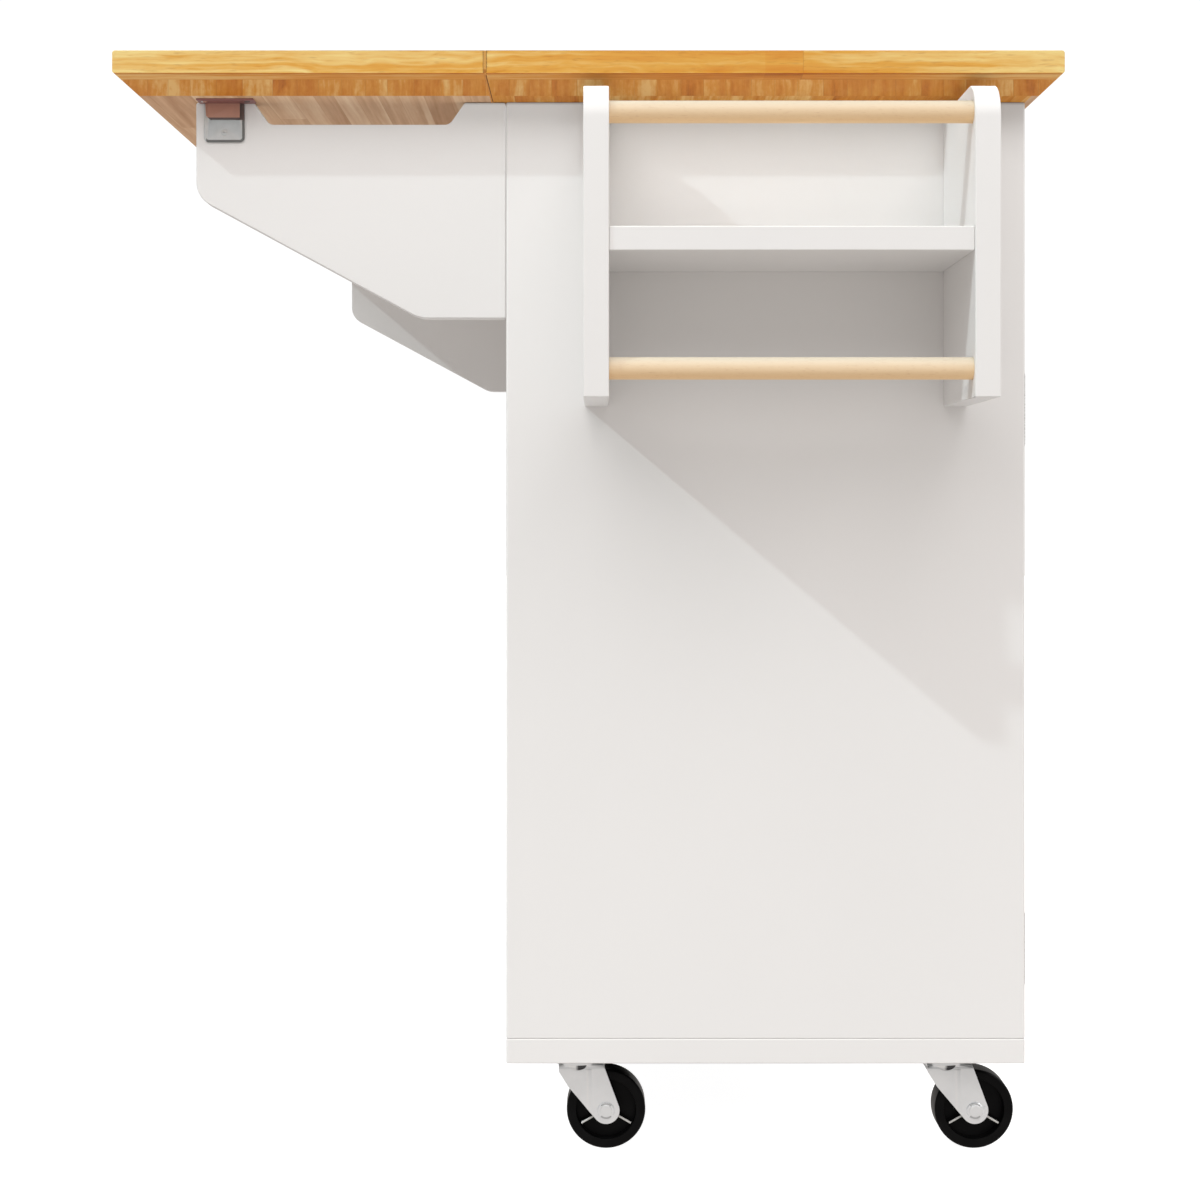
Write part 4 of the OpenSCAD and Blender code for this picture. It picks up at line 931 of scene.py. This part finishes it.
def addStage(name, corners, material, seenBy):
    mesh = bpy.data.meshes.new(name)
    mesh.from_pydata(corners, [], [(0, 1, 2, 3)])
    mesh.materials.append(material)
    thing = bpy.data.objects.new(name, mesh)
    bpy.context.scene.collection.objects.link(thing)
    for rays in ("camera", "diffuse", "glossy", "transmission", "shadow"):
        setattr(thing, "visible_" + rays, rays in seenBy)
    return thing


def flatCard(x0, x1, y0, y1, z):
    return [(x0, y0, z), (x1, y0, z), (x1, y1, z), (x0, y1, z)]


def makeStage():
    look = stageLook
    half = look["floorSize"] / 2
    material, sheet = newMaterial("floor", look["floor"])
    sheet.shine({}, {"Base Color": (*look["floor"], 1), "Roughness": 0.9,
                     "Emission Color": (1, 1, 1, 1), "Emission Strength": look["glow"]})
    corners = [(-half, -half, 0), (half, -half, 0), (half, half, 0), (-half, half, 0)]
    addStage("floor", corners, material, ["camera"])
    world = bpy.data.worlds.new("studio")
    world.use_nodes = True
    world.node_tree.nodes.clear()
    sheet = Sheet(world.node_tree)
    seen = sheet.add("ShaderNodeLightPath", {}, {}, "Is Camera Ray")
    way = sheet.add("ShaderNodeTexCoord", {}, {}, "Generated")
    upward = (sheet.add("ShaderNodeSeparateXYZ", {}, {0: way}, "Z") * look["horizon"] + 0.5).clamped()
    soft = look["below"] + upward * (look["above"] - look["below"])
    strength = soft + seen * (look["backdrop"] - soft)
    tint = sheet.mix(upward, (*look["belowTint"], 1), (*look["aboveTint"], 1))
    colour = sheet.mix(seen, tint, (1, 1, 1, 1))
    glow = sheet.add("ShaderNodeBackground", {}, {"Color": colour, "Strength": strength})
    output = world.node_tree.nodes.new("ShaderNodeOutputWorld")
    world.node_tree.links.new(glow.socket, output.inputs["Surface"])
    bpy.context.scene.world = world


lamps = [
    {"name": "key", "way": (2.22, 1.0, -1.88), "power": 1.03, "spread": 0.9, "colour": (0.845, 0.965, 1.0)},
    {"name": "roof", "way": (0.15, 1.0, -1.2), "power": 1.86, "spread": 60, "colour": (1.0, 0.972, 0.957)},
    {"name": "doors", "way": (-1.0, 0.12, -0.8), "power": 1.2, "spread": 40, "colour": (1.0, 0.97, 0.95)},
    {"name": "farEnd", "way": (0.2, -1.0, -0.8), "power": 1.2, "spread": 40, "colour": (1.0, 0.97, 0.95)},
]


def makeLamps():
    # pale cards stand in for the wood, and the lamps pass the wood and meet shorter shades
    look = stageLook
    x0, x1, y0, y1, z = leafLow.x, topHigh.x, topLow.y, topHigh.y, topLow.z
    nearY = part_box("side_panel_near")[0].y
    shadeY = nearY - look["shade"]
    cards = []
    for name, right, far, glow in (("cardNear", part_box("rack_side_back")[0].x, nearY, look["cardGlow"]),
                                   ("card", x1, y1, 0.0)):
        material, sheet = newMaterial(name, look["card"])
        sheet.shine({}, {"Base Color": (*look["card"], 1), "Roughness": 1.0,
                         "Emission Color": (*look["glowTint"], 1), "Emission Strength": glow})
        height = z + (look["glowCardUp"] if glow else look["cardUp"])
        cards.append(addStage(name, flatCard(x0, right, y0, far, height), material, ["diffuse", "shadow"]))
    shades = [("shade", x0, x1, shadeY, y1, z)]
    for name in ("rack_side_back", "rack_side_front", "rack_rail"):
        low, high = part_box(name)
        inset = look["railInset"] if name == "rack_rail" else look["rackFront"]
        shades.append(("shade_" + name, low.x, high.x, low.y + inset, min(high.y, shadeY), high.z))
    for name, left, right, near, far, height in shades:
        addStage(name, flatCard(left, right, near, far, height + look["shadeUp"]), material, ["shadow"])
    passed = bpy.data.collections.new("passedByLamps")
    wood = [bpy.data.objects[name] for name in ("worktop_soft", "leaf_board_soft")]
    for thing in [*cards, *wood]:
        passed.objects.link(thing)
    for thing in wood:
        thing.visible_diffuse = False
    for item in passed.collection_objects:
        item.light_linking.link_state = "EXCLUDE"
    for lamp in lamps:
        light = bpy.data.lights.new(lamp["name"], "SUN")
        light.energy = lamp["power"]
        light.angle = math.radians(lamp["spread"])
        light.color = lamp["colour"]
        sun = bpy.data.objects.new(lamp["name"], light)
        sun.rotation_euler = Vector(lamp["way"]).to_track_quat("-Z", "Y").to_euler()
        bpy.context.scene.collection.objects.link(sun)
        sun.light_linking.blocker_collection = passed


cameraSet = {"place": (0.0, -2.3385, 0.5535), "lens": 63.42, "sensor": 36.0, "photo": 1200, "vanish": (599, 508)}


def makeCamera():
    look = cameraSet
    camera = bpy.data.cameras.new("camera")
    camera.lens = look["lens"]
    camera.sensor_width = look["sensor"]
    camera.sensor_fit = "HORIZONTAL"
    camera.shift_x = (look["photo"] / 2 - look["vanish"][0]) / look["photo"]
    camera.shift_y = (look["vanish"][1] - look["photo"] / 2) / look["photo"]
    seat = bpy.data.objects.new("camera", camera)
    seat.location = look["place"]
    seat.rotation_euler = (math.radians(90), 0, 0)
    bpy.context.scene.collection.objects.link(seat)
    bpy.context.scene.camera = seat


makeStage()
makeLamps()
makeCamera()
bpy.context.scene.view_settings.view_transform = "Standard"
print("stage, lamps and camera set")
